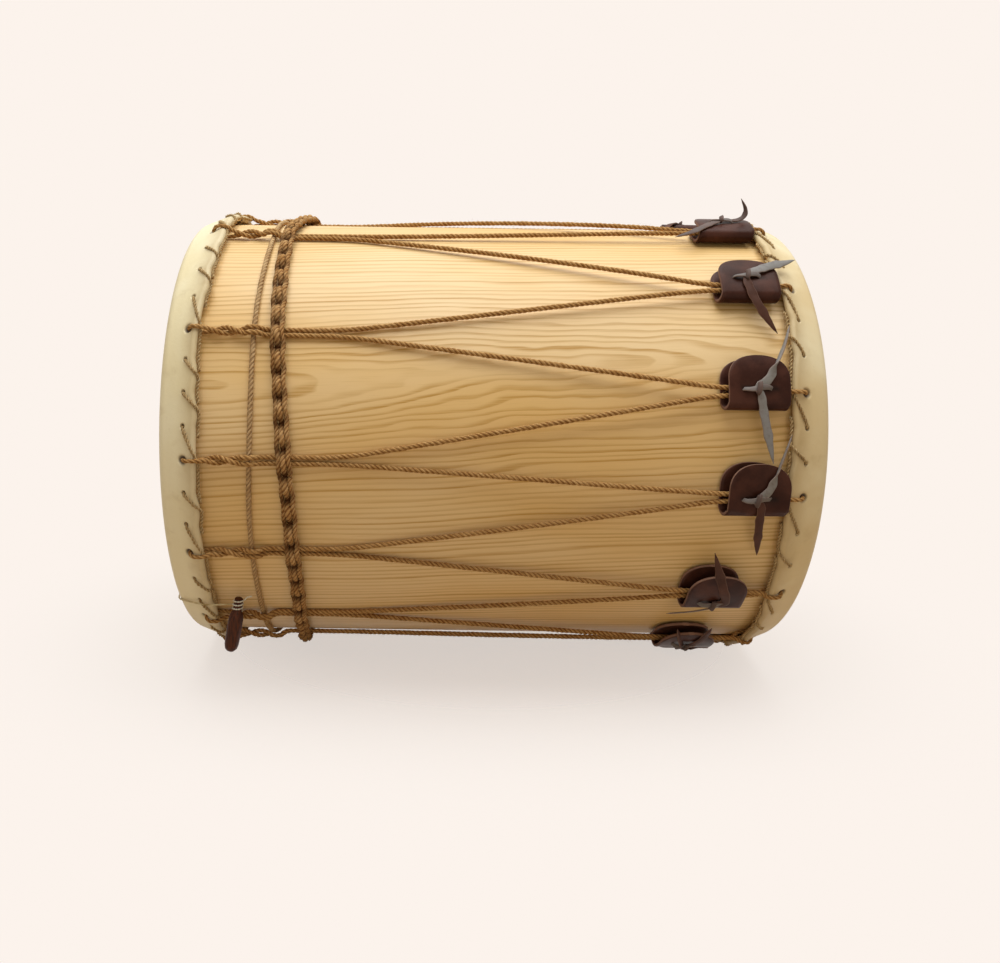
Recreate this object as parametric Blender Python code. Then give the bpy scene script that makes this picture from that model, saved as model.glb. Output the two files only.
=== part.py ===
"""Tabor: a small two-headed drum with rope tension, lying on its side.

The drum's axis runs along X, with the snare head at -X. Angles round the drum start at the front (-Y)
and rise towards +Z. An inset is a distance in from a head's face, a rise is a height above the shell,
and a shift is a distance round the shell.
"""

import math

import bmesh
import bpy
from mathutils import Matrix, Vector

# Shell and skins
SHELL_RADIUS = 0.1524
SHELL_WALL = 0.008
DRUM_LENGTH = 0.414
EDGE_ROUNDING = 0.006
SKIN = 0.0008
HOOP_DIAMETER = 0.0026
HOOP_FIT = 0.0004
FOLD_INSET = 0.0255
HOLE_INSET = 0.017
CLEARANCE = 0.0003
SEGMENTS = 42

# Ropes, twine and gut
ROPE_DIAMETER = 0.0035
ROPE_SQUEEZE = 0.40
ROPE_OVER_FOLD = 0.62
PAIR_GAP = 0.0003
TWIST_SWELL = 1.1
RING_INSET = 0.0565
SPLIT_INSET = 0.113
PLAIT_INSET = 0.076
PLAIT_WAVE = 0.0065
PLAIT_WAVE_CREST = math.radians(61)
PLAIT_WIDTH = 0.0105
PLAIT_HEIGHT = 0.0058
PLAIT_LINKS = 28
TWINE_DIAMETER = 0.0012
STITCH_STEP = math.radians(8.2)
GUT_DIAMETER = 0.0012
KNOT_LENGTH = 0.015
KNOT_DIAMETER = 0.0085
KNOT_TUG = 10

# Leather tugs and their thongs
TUG_ANGLES = [math.radians(a) for a in (73.5, 48.5, 22.0, -1.5, -28.0, -53.0, -77.5, -105.5)]
BACK_TUG_ANGLE = math.radians(-250.0)
TUG_COUNT = 13
TUG_BACKSET = (0, 0, 0, 0, 0.014, 0.018, 0.002, 0.005, 0, 0.008, 0.003, 0.006, 0)
NODE_DRIFT = [math.radians(a) for a in (7.5, -2.0, -7.0, -5.0, -3.5)]
BACK_NODE_DRIFT = math.radians(8.0)
WIDE_STRAND = math.radians(23.0)
TUG_LENGTH = 0.0375
TUG_WIDTH = 0.032
TUG_SKEW = 0.003
TUG_GAP = 0.0035
TUG_CORNER = 0.0135
LEATHER = 0.0022
CHANNEL_ROOM = 0.0006
ROPE_FROM_FOLD = 0.0086
THONG_SHIFT = 0.004
THONG_SPACING = 0.014
THONG_THICKNESS = 0.001
THONG_WIDTH = 0.0026
TAIL_WIDTH = 0.0044
LONGEST_TRAVEL = 0.024
# The lean along X, the reach round the shell and the standing off of a thong's two tails
THONG_TIES = {
    "spread": ((0.014, 0.028, 0.002), (0.003, -0.036, -0.004)),
    "curled": ((0.016, 0.026, 0.006), (0.005, -0.032, 0.001)),
    "both_up": ((0.010, 0.026, -0.001), (-0.009, 0.024, -0.002)),
    "both_down": ((0.006, -0.030, -0.002), (-0.005, -0.034, -0.003)),
}
THONG_KINDS = ("spread", "curled", "spread", "spread", "curled", "both_up", "both_up",
               "both_down", "spread", "curled", "spread", "spread", "spread")

# Snare gut and toggle
GUT_RIM_ANGLE = math.radians(-41.0)
GUT_FAR_ANGLE = math.radians(146.8)
TOGGLE_ANGLE = math.radians(-35.3)
TOGGLE_INSET = 0.0432
TOGGLE_RISE = 0.0094
TOGGLE_TILT = math.radians(10.3)
TOGGLE_LENGTH = 0.038
TOGGLE_DIAMETER = 0.0098
TOGGLE_NECK = 0.0054
TOGGLE_ABOVE = 0.0045
WHIPPING_TURNS = 3
WHIPPING_PITCH = 0.0022

# Sizes that follow from those above
rope_radius = ROPE_DIAMETER / 2
twine_radius = TWINE_DIAMETER / 2
gut_radius = GUT_DIAMETER / 2
facet_sag = SHELL_RADIUS * (1 - math.cos(math.pi / SEGMENTS))
corner_reach = EDGE_ROUNDING + CLEARANCE + SKIN
fold_reach = HOOP_DIAMETER / 2 + HOOP_FIT + SKIN
hoop_gap = ROPE_DIAMETER * ROPE_SQUEEZE + 2 * CLEARANCE + facet_sag
corner_centre = (corner_reach, -EDGE_ROUNDING)
hoop_centre = (FOLD_INSET - fold_reach, hoop_gap + fold_reach)
fold_top = hoop_gap + 2 * fold_reach
rope_low = rope_radius + CLEARANCE + 0.2 * facet_sag
pair_half = rope_radius + PAIR_GAP / 2
ring_hop = rope_low + ROPE_DIAMETER + CLEARANCE + facet_sag
plait_floor = rope_low + rope_radius + CLEARANCE + facet_sag
plait_top = plait_floor + PLAIT_HEIGHT
axis_height = SHELL_RADIUS + plait_top
channel = ROPE_DIAMETER + 2 * CHANNEL_ROOM
tug_floor = THONG_THICKNESS + 3 * CLEARANCE
rope_at_tug = tug_floor + LEATHER + channel / 2
tug_top = tug_floor + 2 * LEATHER + channel
fold_radius = channel / 2 + LEATHER
rope_shift = -TUG_WIDTH / 2 + LEATHER + ROPE_FROM_FOLD
tug_home = DRUM_LENGTH / 2 - FOLD_INSET - TUG_GAP - TUG_LENGTH / 2 - TUG_SKEW / 2
rise_end = tug_home - LONGEST_TRAVEL - TUG_LENGTH / 2 - TUG_SKEW / 2 - ROPE_DIAMETER
hole_radius = 0.6 * ROPE_DIAMETER


def on_drum(x, angle, rise):
    """Return the point above the shell at a place along the axis and an angle round it."""
    radius = SHELL_RADIUS + rise
    return Vector((x, -radius * math.cos(angle), radius * math.sin(angle)))


def along(side, inset):
    """Return the X of a place set in from the left (-1) or right (1) head's face."""
    return side * (DRUM_LENGTH / 2 - inset)


def turned_to(x, angle, rise):
    """Return the matrix of a local frame on the drum: X along the axis, Y round it, Z outward."""
    return Matrix.Translation(on_drum(x, angle, rise)) @ Matrix.Rotation(math.pi / 2 - angle, 4, "X")


def bent(x, shift, rise):
    """Return a tug-local point, with flat shift and rise bent round the shell."""
    turn = shift / SHELL_RADIUS
    radius = SHELL_RADIUS + rise
    return Vector((x, radius * math.sin(turn), radius * math.cos(turn) - SHELL_RADIUS))


def polar(centre, reach, turn):
    """Return the (inset, rise) point at a distance and direction from a centre."""
    return (centre[0] + reach * math.cos(turn), centre[1] + reach * math.sin(turn))


def arc(centre, reach, start, end, steps):
    """Return (inset, rise) points on an arc round a centre."""
    return [polar(centre, reach, start + (end - start) * k / steps) for k in range(steps + 1)]


def material(name, colour, roughness, metallic=0.0):
    """Return a Principled material."""
    made = bpy.data.materials.new(name)
    made.use_nodes = True
    shader = made.node_tree.nodes["Principled BSDF"]
    shader.inputs["Base Color"].default_value = (*colour, 1)
    shader.inputs["Roughness"].default_value = roughness
    shader.inputs["Metallic"].default_value = metallic
    return made


def place(name, data, finish, parent):
    """Link data as a named object with one material under a parent."""
    data.materials.append(finish)
    made = bpy.data.objects.new(name, data)
    bpy.context.collection.objects.link(made)
    made.parent = parent
    return made


def closed_mesh(name, mesh_builder):
    """Turn a bmesh into mesh data with outward faces and smooth round sides."""
    bmesh.ops.recalc_face_normals(mesh_builder, faces=mesh_builder.faces[:])
    data = bpy.data.meshes.new(name)
    mesh_builder.to_mesh(data)
    mesh_builder.free()
    data.shade_smooth()
    data.set_sharp_from_angle(angle=math.radians(40))
    return data


def turned_mesh(name, outline, segments=SEGMENTS):
    """Spin an outline of (x, radius) points round the X axis, closing it unless it ends there."""
    builder = bmesh.new()
    corners = [builder.verts.new((x, 0, radius)) for x, radius in outline]
    pairs = list(zip(corners, corners[1:]))
    if outline[0][1] > 0:
        pairs.append((corners[-1], corners[0]))
    edges = [builder.edges.new(pair) for pair in pairs]
    bmesh.ops.spin(builder, geom=corners + edges, cent=(0, 0, 0), axis=(1, 0, 0),
                   angle=math.tau, steps=segments, use_merge=True)
    bmesh.ops.remove_doubles(builder, verts=builder.verts[:], dist=1e-6)
    return closed_mesh(name, builder)


def swept_mesh(name, rings):
    """Join rings of points, all of one count, into a closed mesh with two end faces."""
    builder = bmesh.new()
    loops = [[builder.verts.new(point) for point in ring] for ring in rings]
    for ring, after in zip(loops, loops[1:]):
        for k in range(len(ring)):
            builder.faces.new((ring[k - 1], ring[k], after[k], after[k - 1]))
    builder.faces.new(loops[0][::-1])
    builder.faces.new(loops[-1])
    return closed_mesh(name, builder)


def tube(name, points, radius, finish, parent, factors=None, cyclic=False, resolution=1):
    """Make a round cord along points, with an optional thickness factor at each."""
    curve = bpy.data.curves.new(name, "CURVE")
    curve.dimensions = "3D"
    curve.bevel_depth = radius
    curve.bevel_resolution = resolution
    curve.use_fill_caps = not cyclic
    spline = curve.splines.new("POLY")
    spline.points.add(len(points) - 1)
    spline.use_cyclic_u = cyclic
    for k, point in enumerate(points):
        spline.points[k].co = (*point, 1)
        spline.points[k].radius = factors[k] if factors else 1
    return place(name, curve, finish, parent)


def cut_by(target, name, prisms, sides):
    """Cut prisms, each a matrix, a radius and a depth along its Z, out of an object."""
    builder = bmesh.new()
    for matrix, radius, depth in prisms:
        bmesh.ops.create_cone(builder, cap_ends=True, segments=sides, radius1=radius, radius2=radius,
                              depth=depth, matrix=matrix)
    data = bpy.data.meshes.new(name)
    builder.to_mesh(data)
    builder.free()
    cutter = bpy.data.objects.new(name, data)
    bpy.context.collection.objects.link(cutter)
    cutter.parent = target.parent
    cutter.hide_render = True
    cutter.display_type = "WIRE"
    modifier = target.modifiers.new(name, "BOOLEAN")
    modifier.operation = "DIFFERENCE"
    modifier.object = cutter


def spread_angles():
    """Return the tugs' angles, falling round the drum, and the left rope holes between them."""
    tugs = list(TUG_ANGLES)
    spare = TUG_COUNT - len(tugs)
    step = (BACK_TUG_ANGLE - tugs[-1]) / spare
    tugs += [tugs[-1] + step * (k + 1) for k in range(spare)]
    drift = NODE_DRIFT + [0] * (TUG_COUNT - len(NODE_DRIFT) - 1) + [BACK_NODE_DRIFT]
    after = tugs[1:] + [tugs[0] - math.tau]
    return tugs, [(a + b) / 2 + d for a, b, d in zip(tugs, after, drift)]


tug_angles, node_angles = spread_angles()
tug_places = [tug_home - back for back in TUG_BACKSET]
rope_angles = [angle + rope_shift / (SHELL_RADIUS + rope_at_tug) for angle in tug_angles]


def skin_tangent():
    """Return the direction, from the corner's and the hoop's centres, square to the sloping skin."""
    run = hoop_centre[0] - corner_centre[0]
    climb = hoop_centre[1] - corner_centre[1]
    return math.atan2(climb, run) + math.acos((corner_reach - fold_reach) / math.hypot(run, climb))


def skin_line(depth, fold_depth=None):
    """Return (inset, rise) points of the skin, from the head's middle to the fold, under its face."""
    square = skin_tangent()
    fold = fold_reach - (depth if fold_depth is None else fold_depth)
    return ([(depth, -SHELL_RADIUS)] + arc(corner_centre, corner_reach - depth, math.pi, square, 2)
            + arc(hoop_centre, fold, square, -math.pi / 2, 3))


def skin_rise(inset):
    """Return the rise of the sloping skin's outer face at an inset."""
    square = skin_tangent()
    start = polar(corner_centre, corner_reach, square)
    return start[1] - (inset - start[0]) / math.tan(square)


def stitch_angles(ropes):
    """Return the angles of the stitches between falling rope angles."""
    after = ropes[1:] + [ropes[0] - math.tau]
    found = []
    for high, low in zip(ropes, after):
        count = max(2, round((high - low) / STITCH_STEP) - 1)
        found += [high - (high - low) * (k + 1) / (count + 1) for k in range(count)]
    return found


def make_shell(finish, parent):
    """Make the wooden shell with its rounded bearing edges."""
    end = DRUM_LENGTH / 2 - SKIN - CLEARANCE
    inner = SHELL_RADIUS - SHELL_WALL
    edge = arc((end - EDGE_ROUNDING, SHELL_RADIUS - EDGE_ROUNDING), EDGE_ROUNDING, math.pi / 2, 0, 2)
    outline = [(-end, inner)] + [(-x, r) for x, r in reversed(edge)] + edge + [(end, inner)]
    place("shell", turned_mesh("shell", outline), finish, parent)


def make_head(side, word, ropes, skin_finish, hoop_finish, twine_finish, parent):
    """Make one skin with its rope and stitch holes, its hidden hoop and its lacing."""
    line = skin_line(0) + skin_line(SKIN)[::-1]
    outline = [(along(side, inset), max(0, SHELL_RADIUS + rise)) for inset, rise in line]
    head = place("head_" + word, turned_mesh("head_" + word, outline), skin_finish, parent)
    stitches = stitch_angles(ropes)
    middle = skin_rise(HOLE_INSET) - SKIN / 2
    depth = 2 * (middle - hoop_gap)
    x = along(side, HOLE_INSET)
    rope_holes = [(turned_to(x, a, middle), hole_radius, depth) for a in ropes]
    cut_by(head, "rope_holes_" + word, rope_holes, 6)
    twine_holes = [(turned_to(x, a, middle), 2 * TWINE_DIAMETER, depth) for a in stitches]
    cut_by(head, "twine_holes_" + word, twine_holes, 4)

    ring = arc(hoop_centre, HOOP_DIAMETER / 2, 0, math.tau * 0.75, 3)
    hoop = [(along(side, inset), SHELL_RADIUS + rise) for inset, rise in ring]
    place("hoop_" + word, turned_mesh("hoop_" + word, hoop), hoop_finish, parent)

    tube("lacing_" + word, lacing_points(side, stitches), twine_radius, twine_finish, parent,
         cyclic=True, resolution=0)


def lacing_points(side, stitches):
    """Return the twine's route: out of each hole, over the fold, under it and up to the next hole.

    It runs downwards on the left head and upwards on the right one. Where a rope lies between two
    stitches, the twine runs along the fold's edge between the rope's strands.
    """
    reach = fold_reach + twine_radius + 2 * CLEARANCE
    turns = [(80, reach), (5, reach), (-50, reach + facet_sag), (-105, reach + facet_sag)]
    over, edge, under, back = [polar(hoop_centre, r, math.radians(t)) for t, r in turns]
    outside = (HOLE_INSET, skin_rise(HOLE_INSET) + twine_radius + 3 * CLEARANCE)
    route = [(0, outside), (0.28, over), (0.40, edge), (0.62, edge), (0.72, under), (0.84, back),
             (1, (HOLE_INSET, hoop_gap))]
    order = stitches[::-1] if side > 0 else stitches
    points = []
    for here, after in zip(order, order[1:] + [order[0] + side * math.tau]):
        crosses_rope = abs(after - here) > 1.5 * STITCH_STEP
        for share, (inset, rise) in route if crosses_rope else route[:3] + route[4:]:
            points.append(on_drum(along(side, inset), here + (after - here) * share, rise))
    return points


def fold_turn(side, angle):
    """Return the rope's stations over a fold, in through the skin's hole and out under the fold."""
    top = fold_top + CLEARANCE + ROPE_OVER_FOLD * rope_radius
    skin = skin_rise(HOLE_INSET)
    route = [
        (FOLD_INSET + 0.2 * ROPE_DIAMETER, top - 0.35 * rope_radius, 0.7),
        (hoop_centre[0], top, ROPE_OVER_FOLD),
        (HOLE_INSET + hole_radius, top - 0.1 * rope_radius, 0.58),
        (HOLE_INSET, skin, 0.55),
        (HOLE_INSET - CLEARANCE, 0.55 * skin, 0.5),
        (hoop_centre[0], hoop_gap / 2, ROPE_SQUEEZE),
    ]
    return [(along(side, inset), angle, rise, thin) for inset, rise, thin in route]


def left_turn(angle):
    """Return stations from one strand of a left pair, round the fold, to the other strand."""
    turn = pair_half / (SHELL_RADIUS + rope_low)
    clear = RING_INSET + 1.8 * ROPE_DIAMETER
    stacked = FOLD_INSET + 2 * ROPE_DIAMETER
    bottom = rope_low
    top = bottom + ROPE_DIAMETER + PAIR_GAP
    halfway = (stacked + RING_INSET) / 2
    middle = ((bottom + top) / 2 + ring_hop) / 2
    eighth = TWIST_SWELL * math.sqrt(0.5)
    first = [(SPLIT_INSET, 1, rope_low), (clear, 1, rope_low), (RING_INSET, 1, ring_hop),
             (halfway, eighth, middle + eighth * pair_half), (stacked, 0, top)]
    second = [(stacked, 0, bottom), (halfway, -eighth, middle - eighth * pair_half),
              (RING_INSET, -1, ring_hop), (clear, -1, rope_low), (SPLIT_INSET, -1, rope_low)]
    into = [(along(-1, inset), angle + turn * share, rise, 1) for inset, share, rise in first]
    out = [(along(-1, inset), angle + turn * share, rise, 1) for inset, share, rise in second]
    return into + fold_turn(-1, angle) + out


def right_turn(index):
    """Return stations through a tug, round the right fold and back through the tug."""
    angle = rope_angles[index]
    turn = pair_half / (SHELL_RADIUS + rope_at_tug)
    left = tug_places[index] - TUG_LENGTH / 2 - TUG_SKEW / 2
    flap = FOLD_INSET + TUG_GAP
    lower = flap + TUG_SKEW
    into = [(left, angle + 1.1 * turn, rope_at_tug, 1),
            (along(1, lower + 0.3 * ROPE_DIAMETER), angle + turn, rope_at_tug, 0.9),
            (along(1, flap + CLEARANCE), angle + 0.6 * turn, rope_at_tug + 0.2 * rope_radius, 0.85)]
    out = [(along(1, FOLD_INSET + 0.6 * ROPE_DIAMETER), angle - 0.3 * turn, 0.4 * rope_at_tug, 0.48),
           (along(1, lower - 0.4 * ROPE_DIAMETER), angle - 0.6 * turn, 0.76 * rope_at_tug, 0.6),
           (along(1, lower + 0.3 * ROPE_DIAMETER), angle - turn, rope_at_tug + CLEARANCE, 0.8),
           (left, angle - 1.1 * turn, rope_at_tug, 1)]
    return into + fold_turn(1, angle) + out


def between(start, end, x):
    """Return the station at x on the straight strand from a split to a tug."""
    share = (x - start[0]) / (end[0] - start[0])
    climb = min(1, (x - start[0]) / (rise_end - start[0]))
    angle = start[1] + (end[1] - start[1]) * share
    return (x, angle, start[2] + (end[2] - start[2]) * climb, 1)


def strand(start, end):
    """Return the stations of a strand from a split to a tug, with one more where it winds far round the shell."""
    stations = [between(start, end, rise_end)]
    if abs(end[1] - start[1]) > WIDE_STRAND:
        stations.insert(0, between(start, end, (start[0] + rise_end) / 2))
    return stations


def rope_stations():
    """Return the tension rope's stations from one side of its knot round to the other."""
    order = [(KNOT_TUG + k) % TUG_COUNT for k in range(TUG_COUNT)]
    half = KNOT_LENGTH / 2 + CLEARANCE
    stations = []
    for node in order:
        tug = (node + 1) % TUG_COUNT
        lap = math.tau if tug == 0 else 0
        turn = [(x, angle - lap, rise, thin) for x, angle, rise, thin in right_turn(tug)]
        start = left_turn(node_angles[node])
        following = left_turn(node_angles[tug] - lap)[0]
        stations += start + strand(start[-1], turn[0]) + turn + strand(following, turn[-1])[::-1]
    last = left_turn(node_angles[KNOT_TUG])[0]
    tug_end = turn[-1]
    return ([between(last, tug_end, -half)] + stations + [between(last, tug_end, half)],
            between(last, tug_end, 0))


def make_tension(finish, parent):
    """Make the rope that zigzags between the heads, and the knot that joins its ends."""
    stations, middle = rope_stations()
    points = [on_drum(x, angle, rise) for x, angle, rise, _ in stations]
    tube("tension_rope", points, rope_radius, finish, parent, [s[3] for s in stations])
    half = KNOT_LENGTH / 2
    lump = arc((0, 0), 1, math.pi, 0, 6)
    outline = [(half * a, max(0, KNOT_DIAMETER / 2 * b) if 0 < k < 6 else 0)
               for k, (a, b) in enumerate(lump)]
    knot = place("rope_knot", turned_mesh("rope_knot", outline, 8), finish, parent)
    knot.location = on_drum(0, middle[1], max(middle[2], KNOT_DIAMETER / 2 + CLEARANCE))


def make_ring(finish, parent):
    """Make the rope that circles the shell under the rope pairs."""
    turns = [math.tau * k / SEGMENTS for k in range(SEGMENTS)]
    points = [on_drum(along(-1, RING_INSET), t, rope_low) for t in turns]
    tube("ring_rope", points, rope_radius, finish, parent, cyclic=True)


def make_plait(finish, parent):
    """Make the chained rope that circles the shell over the rope pairs, swelling at each link."""
    section = [(-0.5, 0.45), (-0.25, 1), (0.25, 1), (0.5, 0.45), (0.25, 0), (-0.25, 0)]
    builder = bmesh.new()
    rings = []
    for k in range(2 * PLAIT_LINKS):
        turn = math.tau * k / (2 * PLAIT_LINKS)
        swell = 1 if k % 2 else 0.78
        x = along(-1, PLAIT_INSET) - PLAIT_WAVE * math.cos(2 * (turn - PLAIT_WAVE_CREST))
        rings.append([builder.verts.new(on_drum(x + PLAIT_WIDTH * swell * across, turn,
                                                plait_floor + PLAIT_HEIGHT * up))
                      for across, up in section])
    for ring, after in zip(rings, rings[1:] + rings[:1]):
        for k in range(len(ring)):
            builder.faces.new((ring[k - 1], ring[k], after[k], after[k - 1]))
    place("carrying_plait", closed_mesh("carrying_plait", builder), finish, parent)


def tug_rings():
    """Return the folded strap's sections from the upper flap, round the fold, to the lower flap."""
    end = TUG_WIDTH / 2
    turn = -end + fold_radius
    steps = [0, 0.3, 1]
    flap = [(end - s * TUG_CORNER, TUG_CORNER * (1 - math.sqrt(1 - (1 - s) ** 2))) for s in steps]
    upper = tug_top - LEATHER / 2
    lower = tug_floor + LEATHER / 2
    middle = (upper + lower) / 2
    reach = (upper - lower) / 2
    stations = [(u, upper, math.pi / 2, trim, 0.5) for u, trim in flap]
    for k in range(5):
        share = k / 4
        facing = math.pi / 2 + math.pi * share
        stations.append((turn + reach * math.cos(facing), middle + reach * math.sin(facing), facing,
                         0, 0.5 - share))
    stations += [(u, lower, -math.pi / 2, trim, -0.5) for u, trim in reversed(flap)]
    rings = []
    for shift, rise, facing, trim, skew in stations:
        half = TUG_LENGTH / 2 - trim
        off = TUG_SKEW * skew
        out = (math.cos(facing) * LEATHER / 2, math.sin(facing) * LEATHER / 2)
        corners = [(-half, 1), (half, 1), (half, -1), (-half, -1)]
        rings.append([bent(off + x, shift + sign * out[0], rise + sign * out[1]) for x, sign in corners])
    return rings


def make_tug_mesh(parent):
    """Make the mesh that all tugs share: the folded strap with its thong holes punched."""
    pattern = bpy.data.objects.new("tug_pattern", swept_mesh("tug_pattern", tug_rings()))
    bpy.context.collection.objects.link(pattern)
    pattern.parent = parent
    middle = (tug_floor + tug_top) / 2
    holes = []
    for sign in (-1, 1):
        at = bent(sign * THONG_SPACING / 2, THONG_SHIFT, middle)
        slant = Matrix.Rotation(-THONG_SHIFT / SHELL_RADIUS, 4, "X")
        holes.append((Matrix.Translation(at) @ slant, THONG_WIDTH / 2 + 2 * CLEARANCE,
                      2 * (tug_top - tug_floor)))
    cut_by(pattern, "tug_punch", holes, 4)
    bpy.context.view_layer.update()
    evaluated = pattern.evaluated_get(bpy.context.evaluated_depsgraph_get())
    data = bpy.data.meshes.new_from_object(evaluated)
    for used in (pattern, bpy.data.objects["tug_punch"]):
        bpy.data.objects.remove(used)
    data.name = "tug"
    return data


def thong_rings(tail_up, tail_down):
    """Return the thong's sections: one tail, in and out of the two holes, and the other tail.

    Each tail is a list of (x, shift, rise) points from the knot to its tip.
    """
    hole = THONG_SPACING / 2
    top = tug_top + CLEARANCE + THONG_THICKNESS / 2
    over = top + THONG_THICKNESS + CLEARANCE
    under = tug_floor - CLEARANCE - THONG_THICKNESS / 2
    u = THONG_SHIFT
    route = [(x, s, r) for x, s, r in reversed(tail_up)]
    route += [(0, u + 0.4 * THONG_WIDTH, top), (hole, u, top + CLEARANCE), (hole, u, under),
              (-hole, u, under), (-hole, u, top + CLEARANCE), (0, u - 0.4 * THONG_WIDTH, over)]
    route += list(tail_down)
    points = [Vector(p) for p in route]
    tails = (len(tail_up), len(tail_down))
    rings = []
    for k, point in enumerate(points):
        before, after = points[max(0, k - 1)], points[min(len(points) - 1, k + 1)]
        ahead = (after - before).normalized()
        vertical = abs(ahead.z) > 0.6
        across = Vector((0, 1, 0)) if vertical or tails[0] <= k < len(points) - tails[1] else None
        if across is None:
            across = Vector((0, 0, 1)).cross(ahead).normalized()
        thick = ahead.cross(across).normalized() * THONG_THICKNESS / 2
        wide = THONG_WIDTH
        for from_tip in (k, len(points) - 1 - k):
            if from_tip < min(tails):
                wide = TAIL_WIDTH * min(1, 0.12 + 0.8 * from_tip)
        across = across * wide / 2
        ring = [point + across + thick, point - across + thick, point - across - thick,
                point + across - thick]
        rings.append([bent(*corner) for corner in ring])
    return rings


def tail_points(lean, reach, stand, layer):
    """Return a tail's points from the knot, leaning along X, reaching round the shell, standing off.

    Layer 0 lies next to the tug and layer 1 on top of it.
    """
    rise = tug_top + 2 * CLEARANCE + THONG_THICKNESS / 2 + layer * (THONG_THICKNESS + CLEARANCE)
    side = 1 if reach > 0 else -1
    start = THONG_SHIFT + side * 2.2 * THONG_WIDTH
    shares = (0, 0.55, 1)
    return [(lean * s, start + (reach - side * 2.2 * THONG_WIDTH) * s, rise + stand * s * s)
            for s in shares]


def make_tugs(leather, thong_finish, parent):
    """Make the tugs and thongs, each pair on its own origin, and report how far each slides."""
    tug_mesh = make_tug_mesh(parent)
    meshes = {}
    for kind, (first, second) in THONG_TIES.items():
        rings = thong_rings(tail_points(*first, 0), tail_points(*second, 1))
        meshes[kind] = swept_mesh("thong_" + kind, rings)
        meshes[kind].materials.append(thong_finish)
    tug_mesh.materials.append(leather)
    for k in range(TUG_COUNT):
        number = f"{k + 1:02d}"
        for name, data in (("tug_" + number, tug_mesh), ("thong_" + number, meshes[THONG_KINDS[k]])):
            made = bpy.data.objects.new(name, data)
            bpy.context.collection.objects.link(made)
            made.parent = parent
            frame = turned_to(tug_places[k], tug_angles[k], 0)
            made.location = frame.translation
            made.rotation_euler = frame.to_euler()
        print(f"tug_{number} slides {1000 * tug_travel(k):.1f} mm in, "
              f"{1000 * TUG_BACKSET[k]:.1f} mm out")


def tug_travel(index):
    """Return how far a tug slides in before a spreading strand meets its fold or its thong."""
    room = min(ROPE_FROM_FOLD, THONG_SHIFT - rope_shift - THONG_WIDTH / 2 - 2 * CLEARANCE)
    room -= rope_radius + CLEARANCE + 1.1 * pair_half
    radius = SHELL_RADIUS + rope_at_tug
    before = node_angles[index - 1] + (math.tau if index == 0 else 0)
    spread = max(before - rope_angles[index], rope_angles[index] - node_angles[index]) * radius
    run = tug_places[index] - TUG_LENGTH / 2 - along(-1, SPLIT_INSET)
    return min(LONGEST_TRAVEL - TUG_BACKSET[index], room * run / spread)


def make_snare(gut_finish, wood, twine_finish, parent):
    """Make the gut across the left head, the toggle that hangs on it, and the toggle's whipping."""
    hinge = on_drum(along(-1, TOGGLE_INSET), TOGGLE_ANGLE, TOGGLE_RISE)
    coil = TOGGLE_NECK / 2 + CLEARANCE + twine_radius
    lift = CLEARANCE + gut_radius
    over_twine = lift + TWINE_DIAMETER + 3 * CLEARANCE
    line = skin_line(-lift, -over_twine)[1:]
    line.insert(3, (HOLE_INSET, skin_rise(HOLE_INSET) + over_twine))
    slant = (TOGGLE_ANGLE - GUT_RIM_ANGLE) / TOGGLE_INSET
    near = [on_drum(along(-1, inset), GUT_RIM_ANGLE + slant * inset, rise) for inset, rise in line[:-2]]
    far = [on_drum(along(-1, inset), GUT_FAR_ANGLE, rise) for inset, rise in line[:-1]]
    end = hinge - Vector((coil + twine_radius + 2 * CLEARANCE, 0, 0))
    tube("snare_gut", [end] + near[::-1] + far, gut_radius, gut_finish, parent)

    empty = bpy.data.objects.new("toggle_hinge", None)
    bpy.context.collection.objects.link(empty)
    empty.parent = parent
    empty.location = hinge
    empty.rotation_euler = (0, TOGGLE_TILT, 0)
    low = TOGGLE_ABOVE - TOGGLE_LENGTH
    neck, body = TOGGLE_NECK / 2, TOGGLE_DIAMETER / 2
    shoulder = -WHIPPING_TURNS * WHIPPING_PITCH / 2 - TWINE_DIAMETER - CLEARANCE
    outline = [(TOGGLE_ABOVE, 0), (TOGGLE_ABOVE, 0.8 * neck), (TOGGLE_ABOVE - 0.3 * neck, neck),
               (shoulder, neck), (shoulder - 0.4 * body, 0.9 * body), (shoulder - body, body)]
    outline += [(low + body - math.sin(t) * body, math.cos(t) * body) for t in (0, 0.5, 1.0)]
    outline += [(low, 0)]
    toggle = place("snare_toggle", turned_mesh("snare_toggle", outline, 10), wood, empty)
    toggle.rotation_euler = (0, -math.pi / 2, 0)

    count = 10 * WHIPPING_TURNS
    height = WHIPPING_TURNS * WHIPPING_PITCH
    points = []
    for k in range(count + 1):
        turn = math.tau * k / 10
        points.append(Vector((coil * math.cos(turn), coil * math.sin(turn), height * (k / count - 0.5))))
    gaps = [(a - b).length - TWINE_DIAMETER for k, a in enumerate(points) for b in points[k + 5:]]
    print(f"toggle_whipping least gap to itself {1000 * min(gaps):.2f} mm")
    tail = points[-1] + Vector((0.5 * TWINE_DIAMETER, -1.2 * TWINE_DIAMETER, 2.5 * TWINE_DIAMETER))
    tip = tail + Vector((1.5 * TWINE_DIAMETER, -TWINE_DIAMETER, 3 * TWINE_DIAMETER))
    tube("toggle_whipping", points + [tail, tip], twine_radius, twine_finish, empty, resolution=0)


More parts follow.
